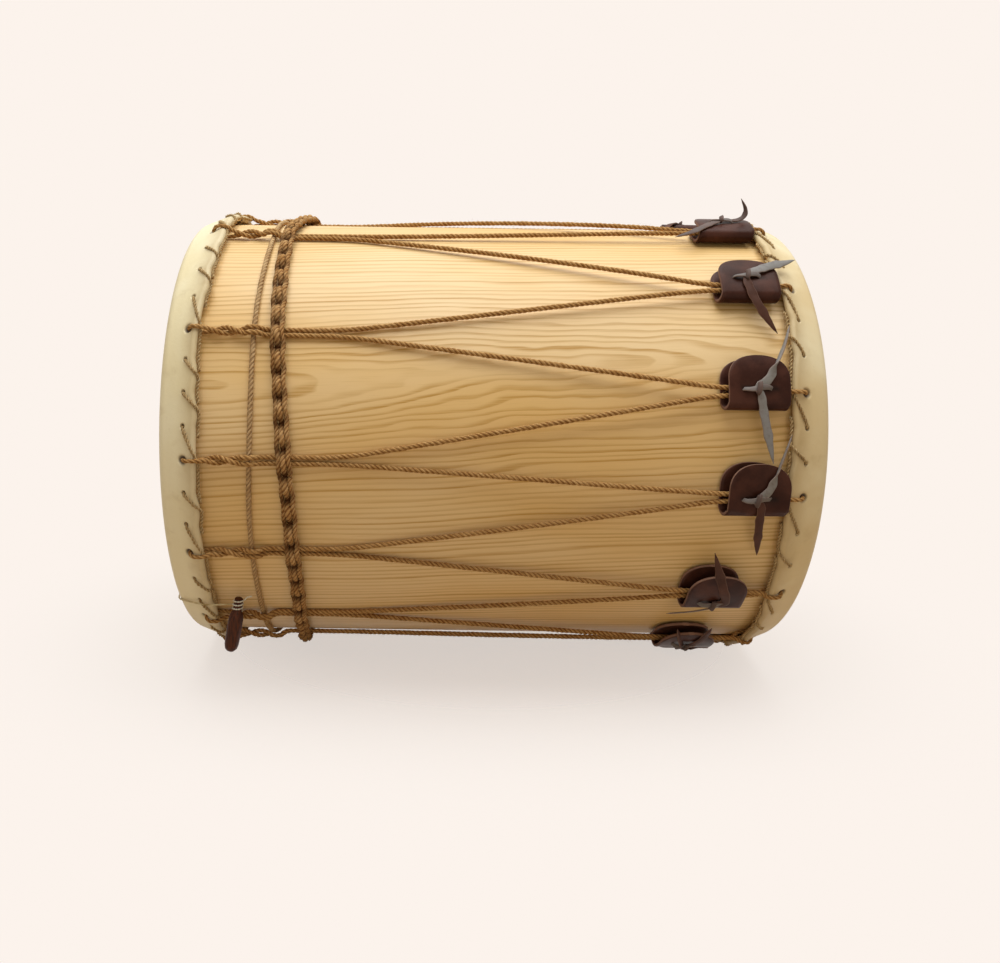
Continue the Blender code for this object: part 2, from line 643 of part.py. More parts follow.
def main():
    """Clear the scene and build the drum round an empty on its axis."""
    for old in list(bpy.data.objects):
        bpy.data.objects.remove(old)
    axis = bpy.data.objects.new("drum_axis", None)
    bpy.context.collection.objects.link(axis)
    axis.location = (0, 0, axis_height)
    wood = material("shell_wood", (0.75, 0.50, 0.24), 0.45)
    rawhide = material("rawhide", (0.78, 0.66, 0.42), 0.55)
    steel = material("hoop_wire", (0.35, 0.33, 0.30), 0.5, 1.0)
    jute = material("jute", (0.32, 0.17, 0.07), 0.9)
    twine = material("twine", (0.36, 0.24, 0.11), 0.85)
    leather = material("tug_leather", (0.07, 0.03, 0.022), 0.5)
    lace = material("thong_leather", (0.10, 0.055, 0.04), 0.6)
    gut = material("gut", (0.75, 0.62, 0.38), 0.4)
    peg = material("toggle_wood", (0.11, 0.035, 0.02), 0.5)

    make_shell(wood, axis)
    make_head(-1, "left", node_angles, rawhide, steel, twine, axis)
    make_head(1, "right", rope_angles, rawhide, steel, twine, axis)
    make_tension(jute, axis)
    make_ring(jute, axis)
    make_plait(jute, axis)
    make_tugs(leather, lace, axis)
    make_snare(gut, peg, twine, axis)


main()
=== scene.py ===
"""Looks of a tabor, a rope-tensioned drum lying on its side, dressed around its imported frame.

The drum's axis runs along X with the snare head at -X. A route on the drum is a row of
(x, angle, rise): a place along the axis, an angle round it from the front (-Y) up towards +Z,
and a height above the shell. An inset is a distance in from a head's face. Lengths are in metres.
"""

import logging
import math
from dataclasses import dataclass, field
from enum import Enum
from typing import Any, Sequence

import bpy
import numpy as np
from mathutils import Matrix, Vector


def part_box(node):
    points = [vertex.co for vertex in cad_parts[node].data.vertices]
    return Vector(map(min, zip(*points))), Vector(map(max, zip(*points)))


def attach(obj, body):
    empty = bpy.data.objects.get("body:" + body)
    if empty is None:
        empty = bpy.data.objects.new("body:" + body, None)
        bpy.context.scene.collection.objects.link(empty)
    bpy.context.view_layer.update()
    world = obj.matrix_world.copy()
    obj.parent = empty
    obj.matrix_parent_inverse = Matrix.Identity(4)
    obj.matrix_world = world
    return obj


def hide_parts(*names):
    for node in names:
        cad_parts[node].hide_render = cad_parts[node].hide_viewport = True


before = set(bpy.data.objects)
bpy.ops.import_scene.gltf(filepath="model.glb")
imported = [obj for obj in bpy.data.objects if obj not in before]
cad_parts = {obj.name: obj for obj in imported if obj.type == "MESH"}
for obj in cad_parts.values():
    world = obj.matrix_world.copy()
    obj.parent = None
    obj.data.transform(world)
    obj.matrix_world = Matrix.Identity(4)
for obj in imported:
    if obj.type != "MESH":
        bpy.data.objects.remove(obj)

log = logging.getLogger("tabor")
DRUM_BODY = "drum"
TOGGLE_BODY = "toggle"
SEED = 7

Array = np.ndarray
Colour = tuple[float, float, float]
Place = tuple[float, float, float]
# A rope's (x, angle, rise, share of its thickness)
Station = tuple[float, float, float, float]


class Side(Enum):
    """The two heads, by the sign of their X."""

    LEFT = -1
    RIGHT = 1


@dataclass(frozen=True)
class Sizes:
    """Sizes that several pieces share, as the construction has them."""

    skin: float = 0.0008
    bearing_edge: float = 0.006
    hoop_wire: float = 0.0026
    hoop_fit: float = 0.0004
    fold_inset: float = 0.0255
    hole_inset: float = 0.017
    clearance: float = 0.0003
    rope: float = 0.0035
    squeeze: float = 0.40
    facets: int = 42
    ring_inset: float = 0.0565
    split_inset: float = 0.113
    plait_inset: float = 0.076
    plait_wave: float = 0.0065
    plait_crest: float = math.radians(61)
    tug_length: float = 0.0375
    tug_width: float = 0.032
    tug_skew: float = 0.003
    tug_gap: float = 0.0035
    leather: float = 0.0022
    channel_room: float = 0.0006
    thong: float = 0.001
    rope_from_fold: float = 0.0086
    stitch_step: float = math.radians(8.2)
    twine: float = 0.0016


def apart(angle: Array, other: float) -> Array:
    """Return the signed angle from another, within half a turn."""
    return (angle - other + math.pi) % math.tau - math.pi


def eased(share: Array) -> Array:
    """Return a share from 0 to 1 that starts and ends gently."""
    return share * share * (3 - 2 * share)


def unit(vectors: Array) -> Array:
    """Return vectors scaled to length one."""
    return vectors / np.maximum(np.linalg.norm(vectors, axis=-1, keepdims=True), 1e-12)


def spoke(turn: Array | float) -> Array:
    """Return the (cosine, sine) row of each angle."""
    return np.stack([np.cos(turn), np.sin(turn)], axis=-1)


def arc(centre: Array, radius: float, start: float, end: float, steps: int) -> Array:
    """Return the points of a flat arc, from one angle to another in even steps."""
    return centre + radius * spoke(np.linspace(start, end, steps + 1))


def rounded(route: Array, rounds: int = 3, closed: bool = False) -> Array:
    """Cut the corners of a route until it is smooth.

    Args:
        route: The corner points, one a row.
        rounds: How often each corner is cut.
        closed: Whether the last point joins the first.

    Returns:
        The smooth route, with its ends kept where it is open.
    """
    for _ in range(rounds):
        after = np.roll(route, -1, axis=0) if closed else route[1:]
        before = route if closed else route[:-1]
        cut = np.stack([0.75 * before + 0.25 * after, 0.25 * before + 0.75 * after], axis=1)
        cut = cut.reshape(-1, route.shape[1])
        route = cut if closed else np.vstack([route[:1], cut, route[-1:]])
    return route


def resampled(points: Array, step: float, closed: bool = False) -> Array:
    """Space points evenly along a line.

    Args:
        points: The line's points, one a row, with any other numbers that go along after them.
        step: The distance that is wanted between points.
        closed: Whether the last point joins the first.

    Returns:
        The even points, with the other numbers carried over.
    """
    line = np.vstack([points, points[:1]]) if closed else points
    gaps = np.linalg.norm(np.diff(line[:, :3], axis=0), axis=1)
    run = np.concatenate([[0], np.cumsum(gaps)])
    count = max(4, round(run[-1] / step))
    at = np.linspace(0, run[-1], count + 1)[: count if closed else count + 1]
    return np.stack([np.interp(at, run, column) for column in line.T], axis=1)


def carried_frames(points: Array, closed: bool = False) -> tuple[Array, Array]:
    """Carry a square frame along a line without twisting it.

    Args:
        points: The line's points.
        closed: Whether the line is a ring.

    Returns:
        Two arrays of unit vectors, square to the line and to each other.
    """
    if closed:
        ahead = unit(np.roll(points, -1, axis=0) - np.roll(points, 1, axis=0))
    else:
        ahead = unit(np.gradient(points, axis=0))
    first = np.zeros_like(points)
    start = np.cross(ahead[0], (0.0, 0.0, 1.0))
    if np.linalg.norm(start) < 0.1:
        start = np.cross(ahead[0], (0.0, 1.0, 0.0))
    first[0] = unit(start)
    for k in range(1, len(points)):
        first[k] = unit(first[k - 1] - ahead[k] * float(first[k - 1] @ ahead[k]))
    second = np.cross(ahead, first)
    if closed:
        turn = math.atan2(float(first[-1] @ second[0]), float(first[-1] @ first[0]))
        share = np.linspace(0, -turn, len(points))[:, None]
        first, second = (first * np.cos(share) + second * np.sin(share),
                         second * np.cos(share) - first * np.sin(share))
    return first, second


def tube(line: Array, first: Array, second: Array, size: Array | float, phase: Array) -> Array:
    """Return rings of points round a line, in the plane of two vectors at each of its points."""
    return (line[:, None] + (size * np.cos(phase))[..., None] * first[:, None]
            + (size * np.sin(phase))[..., None] * second[:, None])


@dataclass
class Drum:
    """Where things are on the drum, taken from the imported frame."""

    radius: float
    axis_height: float
    half_length: float
    sizes: Sizes = field(default_factory=Sizes)
    tug_angles: list[float] = field(default_factory=list)
    node_angles: list[float] = field(default_factory=list)
    tug_places: list[float] = field(default_factory=list)

    SEEN_TUGS = (73.5, 48.5, 22.0, -1.5, -28.0, -53.0, -77.5, -105.5)
    BACK_TUG = -250.0
    NODE_DRIFT = (7.5, -2.0, -7.0, -5.0, -3.5, 0, 0, 0, 0, 0, 0, 0, 8.0)
    TUG_COUNT = 13

    @classmethod
    def from_frame(cls) -> "Drum":
        """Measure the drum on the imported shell, heads and tugs.

        Returns:
            The drum.
        """
        low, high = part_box("shell")
        drum = cls((high.z - low.z) / 2, (high.z + low.z) / 2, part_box("head_right")[1].x)
        drum.spread_tugs()
        return drum

    def spread_tugs(self) -> None:
        """Set the angles of the tugs and the left rope holes, and each tug's place along X."""
        tugs = [math.radians(a) for a in self.SEEN_TUGS]
        spare = self.TUG_COUNT - len(tugs)
        step = (math.radians(self.BACK_TUG) - tugs[-1]) / spare
        tugs += [tugs[-1] + step * (k + 1) for k in range(spare)]
        drift = [math.radians(a) for a in self.NODE_DRIFT]
        after = tugs[1:] + [tugs[0] - math.tau]
        self.tug_angles = tugs
        self.node_angles = [(a + b) / 2 + d for a, b, d in zip(tugs, after, drift)]
        boxes = [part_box(f"tug_{k + 1:02d}") for k in range(self.TUG_COUNT)]
        self.tug_places = [(low.x + high.x) / 2 for low, high in boxes]

    @property
    def facet_sag(self) -> float:
        """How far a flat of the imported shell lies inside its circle."""
        return self.radius * (1 - math.cos(math.pi / self.sizes.facets))

    @property
    def fold_reach(self) -> float:
        """The outer radius of the skin's fold round its hoop."""
        return self.sizes.hoop_wire / 2 + self.sizes.hoop_fit + self.sizes.skin

    @property
    def hoop_gap(self) -> float:
        """The rise of the fold's underside."""
        return self.sizes.rope * self.sizes.squeeze + 2 * self.sizes.clearance + self.facet_sag

    @property
    def rope_low(self) -> float:
        """The rise of the middle of a rope that lies on the shell."""
        return self.sizes.rope / 2 + self.sizes.clearance

    @property
    def tug_floor(self) -> float:
        """The rise of a tug's underside."""
        return self.sizes.thong + 3 * self.sizes.clearance

    @property
    def channel(self) -> float:
        """The height of the room for the ropes inside a tug."""
        return self.sizes.rope + 2 * self.sizes.channel_room

    @property
    def tug_top(self) -> float:
        """The rise of a tug's outer face."""
        return self.tug_floor + 2 * self.sizes.leather + self.channel

    @property
    def rope_at_tug(self) -> float:
        """The rise of the middle of the ropes inside a tug."""
        return self.tug_floor + self.sizes.leather + self.channel / 2

    @property
    def rope_angles(self) -> list[float]:
        """The angles at which the rope pairs pass through the tugs."""
        shift = -self.sizes.tug_width / 2 + self.sizes.leather + self.sizes.rope_from_fold
        return [angle + shift / (self.radius + self.rope_at_tug) for angle in self.tug_angles]

    def along(self, side: Side, inset: Any) -> Any:
        """Return the X of a place set in from a head's face."""
        return side.value * (self.half_length - inset)

    def nearness(self, angle: Array, others: Sequence[float], width: float) -> Array:
        """Return how near angles are to some others, as bumps of a width on the shell."""
        return sum(np.exp(-((apart(angle, a) * self.radius) / width) ** 2) for a in others)

    def lift(self, route: Array) -> Array:
        """Turn an array whose last axis is (x, angle, rise) into points in the frame."""
        reach = self.radius + route[..., 2]
        return np.stack([route[..., 0], -reach * np.cos(route[..., 1]),
                         self.axis_height + reach * np.sin(route[..., 1])], axis=-1)


class Socket:
    """A node's output, with arithmetic that adds Math nodes."""

    def __init__(self, graph: "Graph", link: bpy.types.NodeSocket) -> None:
        """Hold the graph and the output that is wrapped."""
        self.graph = graph
        self.link = link

    def __add__(self, other: Any) -> "Socket":
        """Add a socket or a number."""
        return self.graph.calc("ADD", self, other)

    def __sub__(self, other: Any) -> "Socket":
        """Take away a socket or a number."""
        return self.graph.calc("SUBTRACT", self, other)

    def __rsub__(self, other: Any) -> "Socket":
        """Take this socket away from a number."""
        return self.graph.calc("SUBTRACT", other, self)

    def __mul__(self, other: Any) -> "Socket":
        """Multiply by a socket or a number."""
        return self.graph.calc("MULTIPLY", self, other)

    def __truediv__(self, other: Any) -> "Socket":
        """Divide by a socket or a number."""
        return self.graph.calc("DIVIDE", self, other)

    def __rtruediv__(self, other: Any) -> "Socket":
        """Divide a number by this socket."""
        return self.graph.calc("DIVIDE", other, self)

    __radd__ = __add__
    __rmul__ = __mul__


class Graph:
    """The nodes of a material or of the world."""

    def __init__(self, tree: bpy.types.NodeTree) -> None:
        """Hold the tree that the nodes go into."""
        self.tree = tree

    def add(self, kind: str, settings: dict[str, Any] | None = None,
            inputs: dict[Any, Any] | None = None, output: int | str = 0) -> Socket:
        """Add a node.

        Args:
            kind: The node's type.
            settings: Its own settings, which are set first.
            inputs: Values or sockets for its inputs, by name, identifier or index.
            output: The output to return.

        Returns:
            The output as a socket.
        """
        node = self.tree.nodes.new(kind)
        for key, value in (settings or {}).items():
            setattr(node, key, value)
        for key, value in (inputs or {}).items():
            self.feed(self.find(node.inputs, key), value)
        return Socket(self, self.find(node.outputs, output))

    @staticmethod
    def find(sockets: Any, key: int | str) -> bpy.types.NodeSocket:
        """Look a socket up.

        Args:
            sockets: A node's inputs or outputs.
            key: The socket's index, its identifier or its name.

        Returns:
            The socket.
        """
        if isinstance(key, int):
            return sockets[key]
        return ([s for s in sockets if s.identifier == key]
                or [s for s in sockets if s.name == key])[0]

    def feed(self, target: bpy.types.NodeSocket, value: Any) -> None:
        """Link a socket to an input, or set the input's own value.

        Args:
            target: The input.
            value: A socket, a number, a colour or a vector.
        """
        if isinstance(value, Socket):
            self.tree.links.new(value.link, target)
        elif isinstance(value, tuple) and target.type == "RGBA":
            target.default_value = (*value[:3], 1)
        else:
            target.default_value = value

    def calc(self, operation: str, *values: Any) -> Socket:
        """Return the result of one Math node."""
        return self.add("ShaderNodeMath", {"operation": operation}, dict(enumerate(values)))

    def mix(self, share: Any, first: Any, second: Any) -> Socket:
        """Mix two colours by a share."""
        return self.add("ShaderNodeMix", {"data_type": "RGBA", "clamp_factor": True},
                        {"Factor_Float": share, "A_Color": first, "B_Color": second},
                        "Result_Color")

    def value(self, name: str) -> Socket:
        """Read a number that the mesh holds at each point."""
        return self.add("ShaderNodeAttribute", {"attribute_name": name}, output="Fac")

    def vector(self, name: str) -> Socket:
        """Read a vector that the mesh holds at each point."""
        return self.add("ShaderNodeAttribute", {"attribute_name": name}, output="Vector")

    def place(self) -> Socket:
        """Return the point's place in the frame."""
        return self.add("ShaderNodeTexCoord", output="Object")

    def stretched(self, place: Socket, scale: Place) -> Socket:
        """Return a place with each axis scaled."""
        return self.add("ShaderNodeVectorMath", {"operation": "MULTIPLY"}, {0: place, 1: scale})

    def noise(self, place: Socket, scale: float, detail: float = 3.0, roughness: float = 0.5,
              distortion: float = 0.0) -> Socket:
        """Return a noise between 0 and 1."""
        return self.add("ShaderNodeTexNoise", {"noise_dimensions": "3D"},
                        {"Vector": place, "Scale": scale, "Detail": detail,
                         "Roughness": roughness, "Distortion": distortion}, "Fac")

    def grain(self, place: Socket, scale: Place, detail: float = 3.0,
              roughness: float = 0.5) -> Socket:
        """Return a noise that is drawn out by a scale of its own along each axis."""
        return self.noise(self.stretched(place, scale), 1.0, detail, roughness)

    def between(self, value: Socket, low: float, high: float) -> Socket:
        """Return how far a value has come from low to high, smoothly and clamped."""
        return self.add("ShaderNodeMapRange", {"interpolation_type": "SMOOTHSTEP"},
                        {"Value": value, "From Min": low, "From Max": high}, "Result")

    def backdrop_rays(self) -> Socket:
        """Find the rays that see the backdrop.

        Returns:
            1 for a ray from the camera, a gloss or a clear piece, and 0 for others.
        """
        camera = self.add("ShaderNodeLightPath", output="Is Camera Ray")
        gloss, clear = (Socket(self, camera.link.node.outputs[name])
                        for name in ("Is Glossy Ray", "Is Transmission Ray"))
        return self.calc("MAXIMUM", camera, self.calc("MAXIMUM", gloss, clear))


class Dressing(Graph):
    """A material's nodes, with one Principled shader at their end."""

    def __init__(self, name: str) -> None:
        """Start a material with a bare Principled shader.

        Args:
            name: The material's name.
        """
        self.material = bpy.data.materials.new(name)
        self.material.use_nodes = True
        super().__init__(self.material.node_tree)
        self.shader = self.tree.nodes["Principled BSDF"]

    def finish(self, colour: Any, roughness: Any, bump: Socket | None = None, depth: float = 0.0,
               **constants: Any) -> bpy.types.Material:
        """Feed the Principled shader.

        Args:
            colour: The base colour.
            roughness: The roughness.
            bump: A height for the surface, if any.
            depth: The height's depth.
            **constants: Other inputs by name, with underscores for spaces.

        Returns:
            The finished material.
        """
        feeds = {"Base Color": colour, "Roughness": roughness}
        if bump is not None:
            feeds["Normal"] = self.add(
                "ShaderNodeBump", None, {"Strength": 1.0, "Distance": depth, "Height": bump},
                "Normal")
        feeds.update({name.replace("_", " "): value for name, value in constants.items()})
        for name, value in feeds.items():
            self.feed(self.shader.inputs[name], value)
        return self.material


@dataclass(frozen=True)
class ShellWood:
    """Pale honey wood, its grain along the drum, with one broad arched figure."""

    pale: Colour = (0.80, 0.55, 0.268)
    honey: Colour = (0.735, 0.44, 0.142)
    line: Colour = (0.43, 0.20, 0.008)
    ring: float = 0.0036
    heart_angle: float = math.radians(24)
    heart_depth: float = 0.020
    heart_climb: float = 0.055
    slope: float = 0.05
    sway: float = 0.030
    drift: float = 0.012
    crowding: float = 0.009
    relief: float = 0.00006

    def build(self, drum: Drum) -> bpy.types.Material:
        """Draw the wood as growth rings cut flat and bent round the drum.

        Args:
            drum: The drum that the wood is bent round.

        Returns:
            The wood.
        """
        g = Dressing("shell_wood")
        split = g.add("ShaderNodeSeparateXYZ", None, {0: g.place()})
        x, y, z = (Socket(g, part) for part in split.link.node.outputs)
        angle = g.calc("ARCTAN2", z - drum.axis_height, 0.0 - y)
        across = (angle - self.heart_angle) * drum.radius - x * self.slope
        sheet = g.add("ShaderNodeCombineXYZ", None, {0: x, 1: across, 2: 0.0})
        sway = g.noise(g.stretched(sheet, (1.0, 3.0, 1.0)), 6.0, 3.0, 0.55)
        drift = g.noise(g.stretched(sheet, (0.5, 1.2, 1.0)), 9.0, 2.0)
        crowd = g.grain(sheet, (0.8, 60.0, 1.0), 2.0, 0.6)
        depth = self.heart_depth + x * self.heart_climb + (sway - 0.5) * self.sway
        reach = g.calc("SQRT", across * across + depth * depth)
        stray = (drift - 0.5) * self.drift + (crowd - 0.5) * self.crowding
        rings = (reach + stray) / self.ring
        saw = g.calc("FRACT", rings)
        each = g.add("ShaderNodeTexWhiteNoise", {"noise_dimensions": "1D"},
                     {"W": g.calc("FLOOR", rings)}, "Value")
        late = g.between(saw, 0.38, 0.80) * (1 - g.between(saw, 0.88, 1.0))
        fibre = g.grain(sheet, (14.0, 900.0, 1.0), 4.0, 0.6)
        pores = g.grain(sheet, (30.0, 1700.0, 1.0), 2.0)
        patch = g.grain(sheet, (4.0, 11.0, 1.0))
        body = g.mix(g.between(patch, 0.3, 0.72), self.pale, self.honey)
        strength = (0.22 + each * 0.50) * (0.55 + g.between(fibre, 0.30, 0.68) * 0.75)
        side = 0.30 + g.between(g.calc("ABSOLUTE", across / reach), 0.0, 0.40) * 0.70
        colour = g.mix(late * strength * side, body, self.line)
        colour = g.mix(g.between(pores, 0.56, 0.74) * 0.20, colour, self.line)
        return g.finish(colour, 0.42 + fibre * 0.16, late * 0.15 + pores * 0.6, self.relief,
                        Specular_IOR_Level=0.5)


@dataclass(frozen=True)
class Rawhide:
    """Scraped cream skin, mottled, with painted shade inside its holes, and browner along its fold.
    """

    cream: Colour = (0.89, 0.76, 0.50)
    shade: Colour = (0.82, 0.67, 0.39)
    tanned: Colour = (0.68, 0.49, 0.245)
    stain: Colour = (0.42, 0.27, 0.11)
    # Painted shade inside the stitch and rope holes
    hole: Colour = (0.05, 0.026, 0.012)
    relief: float = 0.00022

    def build(self) -> bpy.types.Material:
        """Draw the rawhide, which reads its tan, the painted shade of its holes and its fold from its
        mesh.

        Returns:
            The rawhide.
        """
        g = Dressing("rawhide")
        place = g.place()
        broad = g.noise(place, 14.0, 4.0, 0.55, 0.4)
        blotch = g.noise(place, 60.0, 4.0, 0.6)
        speck = g.noise(place, 420.0, 3.0, 0.6)
        colour = g.mix(g.between(broad, 0.36, 0.70), self.cream, self.shade)
        # The hole share paints shade into the holes; the tan, the stains and the wear along the fold
        # are the skin's own colour
        for share, tone in ((g.value("tan") * g.between(broad, 0.18, 0.62), self.tanned),
                            (g.between(blotch, 0.54, 0.80) * 0.28, self.stain),
                            (g.between(speck, 0.62, 0.78) * 0.18, self.stain),
                            (g.value("worn") * (0.25 + blotch * 0.5), self.stain),
                            (g.value("hole"), self.hole)):
            colour = g.mix(share, colour, tone)
        return g.finish(colour, 0.46 + blotch * 0.2, blotch * 0.6 + speck * 0.4, self.relief,
                        Specular_IOR_Level=0.36)


@dataclass(frozen=True)
class Fibre:
    """Twisted plant fibre, streaked along its strands, with painted shade in its grooves and pits."""

    name: str
    pale: Colour
    mid: Colour
    dark: Colour
    # How strongly painted shade darkens the grooves
    groove: float = 0.62
    # The colour of the painted shade in the plait's pits
    pit_shade: Colour = (0.045, 0.016, 0.006)
    relief: float = 0.00016

    def build(self) -> bpy.types.Material:
        """Draw the fibre, which reads its grooves, its painted shade and its strands' run from its
        mesh.

        Returns:
            The fibre.
        """
        g = Dressing(self.name)
        place = g.place()
        streak = g.grain(g.vector("strand"), (260.0, 2600.0, 2600.0), 3.0, 0.65)
        broad = g.noise(place, 90.0, 4.0, 0.6)
        fleck = g.noise(place, 900.0, 2.0, 0.6)
        # Painted shade in the grooves of the lay, stronger in some places than in others
        groove_shade = g.between(g.value("groove"), 0.30, 1.0) * (0.35 + broad * 1.1) * self.groove
        colour = g.mix(g.between(streak, 0.34, 0.66), self.mid, self.pale)
        # Streaks, flecks and broad patches are the fibre's own tone; the groove and shade shares
        # paint shade
        for share, tone in ((g.between(broad, 0.42, 0.72) * 0.5, self.mid),
                            (g.between(streak, 0.60, 0.30) * 0.30, self.dark),
                            (g.between(fleck, 0.54, 0.74) * 0.35, self.dark),
                            (groove_shade, self.dark),
                            (g.value("shade"), self.pit_shade)):
            colour = g.mix(share, colour, tone)
        return g.finish(colour, 0.86 + streak * 0.12, streak, self.relief, Specular_IOR_Level=0.08)


@dataclass(frozen=True)
class Leather:
    """Oiled leather with a fine grain, pale along its cut edges, grey on its flesh side, with painted
    shadow in its slits and under the thong's bar.
    """

    name: str
    gloss: float
    smooth: Colour = (0.033, 0.0102, 0.0064)
    warm: Colour = (0.070, 0.024, 0.0150)
    edge: Colour = (0.30, 0.17, 0.12)
    flesh: Colour = (0.27, 0.262, 0.245)
    # Painted shadow in the slits and under the thong's bar
    slit: Colour = (0.006, 0.004, 0.003)
    sheen: Colour = (1.0, 0.80, 0.70)
    relief: float = 0.00006

    def build(self) -> bpy.types.Material:
        """Draw the leather, which reads its cut edges, its painted slit shadow and its flesh side
        from its mesh.

        Returns:
            The leather.
        """
        g = Dressing(self.name)
        place, edge, flesh = g.place(), g.value("edge"), g.value("flesh")
        cloud = g.noise(place, 60.0, 4.0, 0.55)
        grain = g.add("ShaderNodeTexVoronoi", {"feature": "F1"},
                      {"Vector": place, "Scale": 1500.0}, "Distance")
        scuff = g.noise(place, 260.0, 4.0, 0.65)
        suede = g.mix(g.between(scuff, 0.45, 0.80) * 0.40, self.flesh, self.warm)
        colour = g.mix(g.between(cloud, 0.35, 0.68), self.smooth, self.warm)
        for share, tone in ((g.between(scuff, 0.62, 0.84) * 0.10, self.edge),
                            (flesh, suede),
                            (edge * (0.55 + scuff * 0.5), self.edge),
                            (g.value("slit"), self.slit)):
            colour = g.mix(share, colour, tone)
        rough = self.gloss + cloud * 0.12 + edge * 0.25 + flesh * 0.2
        return g.finish(colour, rough, grain * 0.5 + scuff * 0.5, self.relief,
                        Specular_IOR_Level=0.10, Specular_Tint=self.sheen)


@dataclass(frozen=True)
class PegWood:
    """Dark red-brown wood, oiled, its grain along the peg."""

    dark: Colour = (0.024, 0.0056, 0.0012)
    red: Colour = (0.100, 0.025, 0.007)
    relief: float = 0.00010

    def build(self) -> bpy.types.Material:
        """Draw the peg's wood.

        Returns:
            The wood.
        """
        g = Dressing("toggle_wood")
        place = g.place()
        grain = g.grain(place, (1400.0, 1400.0, 90.0), 4.0, 0.6)
        cloud = g.noise(place, 120.0, 3.0)
        colour = g.mix(g.between(grain, 0.3, 0.7), self.dark, self.red)
        colour = g.mix(g.between(cloud, 0.5, 0.8) * 0.4, colour, self.red)
        return g.finish(colour, 0.34 + grain * 0.2, grain, self.relief, Specular_IOR_Level=0.15)


@dataclass(frozen=True)
class Gut:
    """Dried gut, pale amber and a little uneven."""

    pale: Colour = (0.72, 0.58, 0.32)
    amber: Colour = (0.46, 0.31, 0.12)
    relief: float = 0.00008

    def build(self) -> bpy.types.Material:
        """Draw the gut.

        Returns:
            The gut.
        """
        g = Dressing("gut")
        cloud = g.noise(g.place(), 240.0, 3.0)
        colour = g.mix(g.between(cloud, 0.35, 0.7), self.pale, self.amber)
        return g.finish(colour, 0.35 + cloud * 0.2, cloud, self.relief)


@dataclass(frozen=True)
class HoopWire:
    """Plain steel wire, dulled."""

    steel: Colour = (0.30, 0.28, 0.26)
    rust: Colour = (0.16, 0.08, 0.04)
    relief: float = 0.00005

    def build(self) -> bpy.types.Material:
        """Draw the wire's steel.

        Returns:
            The steel.
        """
        g = Dressing("hoop_wire")
        spot = g.noise(g.place(), 180.0, 4.0, 0.6)
        colour = g.mix(g.between(spot, 0.52, 0.72), self.steel, self.rust)
        return g.finish(colour, 0.42 + spot * 0.3, spot, self.relief, Metallic=1.0)


@dataclass(frozen=True)
class Finish:
    """A material and the record's slot that it belongs to."""

    material: bpy.types.Material
    slot: str


@dataclass(frozen=True)
class Finishes:
    """All the finishes, built once."""

    shell: Finish
    rawhide: Finish
    rope: Finish
    ring: Finish
    plait: Finish
    twine: Finish
    whipping: Finish
    tug: Finish
    thong: Finish
    peg: Finish
    gut: Finish
    wire: Finish

    @classmethod
    def build(cls, drum: Drum) -> "Finishes":
        """Make every finish.

        Args:
            drum: The drum that the shell's wood is bent round.

        Returns:
            The finishes.
        """
        jute = Fibre("jute", (0.67, 0.405, 0.165), (0.42, 0.198, 0.054), (0.13, 0.037, 0.005),
                     groove=0.74)
        pale_jute = Fibre("pale_jute", (0.74, 0.505, 0.26), (0.46, 0.255, 0.105),
                          (0.13, 0.055, 0.021), groove=0.52)
        plait_jute = Fibre("plait_jute", (0.75, 0.48, 0.225), (0.47, 0.215, 0.058),
                           (0.13, 0.035, 0.005), groove=0.68, pit_shade=(0.055, 0.015, 0.003))
        twine = Fibre("twine", (0.64, 0.46, 0.24), (0.45, 0.28, 0.118), (0.16, 0.078, 0.024))
        whipping = Fibre("whipping", (0.92, 0.87, 0.74), (0.84, 0.77, 0.62), (0.46, 0.37, 0.24),
                         groove=0.25)
        return cls(
            shell=Finish(ShellWood().build(drum), "shell_wood"),
            rawhide=Finish(Rawhide().build(), "rawhide"),
            rope=Finish(jute.build(), "jute"),
            ring=Finish(pale_jute.build(), "jute"),
            plait=Finish(plait_jute.build(), "jute"),
            twine=Finish(twine.build(), "twine"),
            whipping=Finish(whipping.build(), "twine"),
            tug=Finish(Leather("tug_leather", gloss=0.30).build(), "tug_leather"),
            thong=Finish(Leather("thong_leather", gloss=0.36).build(), "thong_leather"),
            peg=Finish(PegWood().build(), "toggle_wood"),
            gut=Finish(Gut().build(), "gut"),
            wire=Finish(HoopWire().build(), "hoop_wire"),
        )


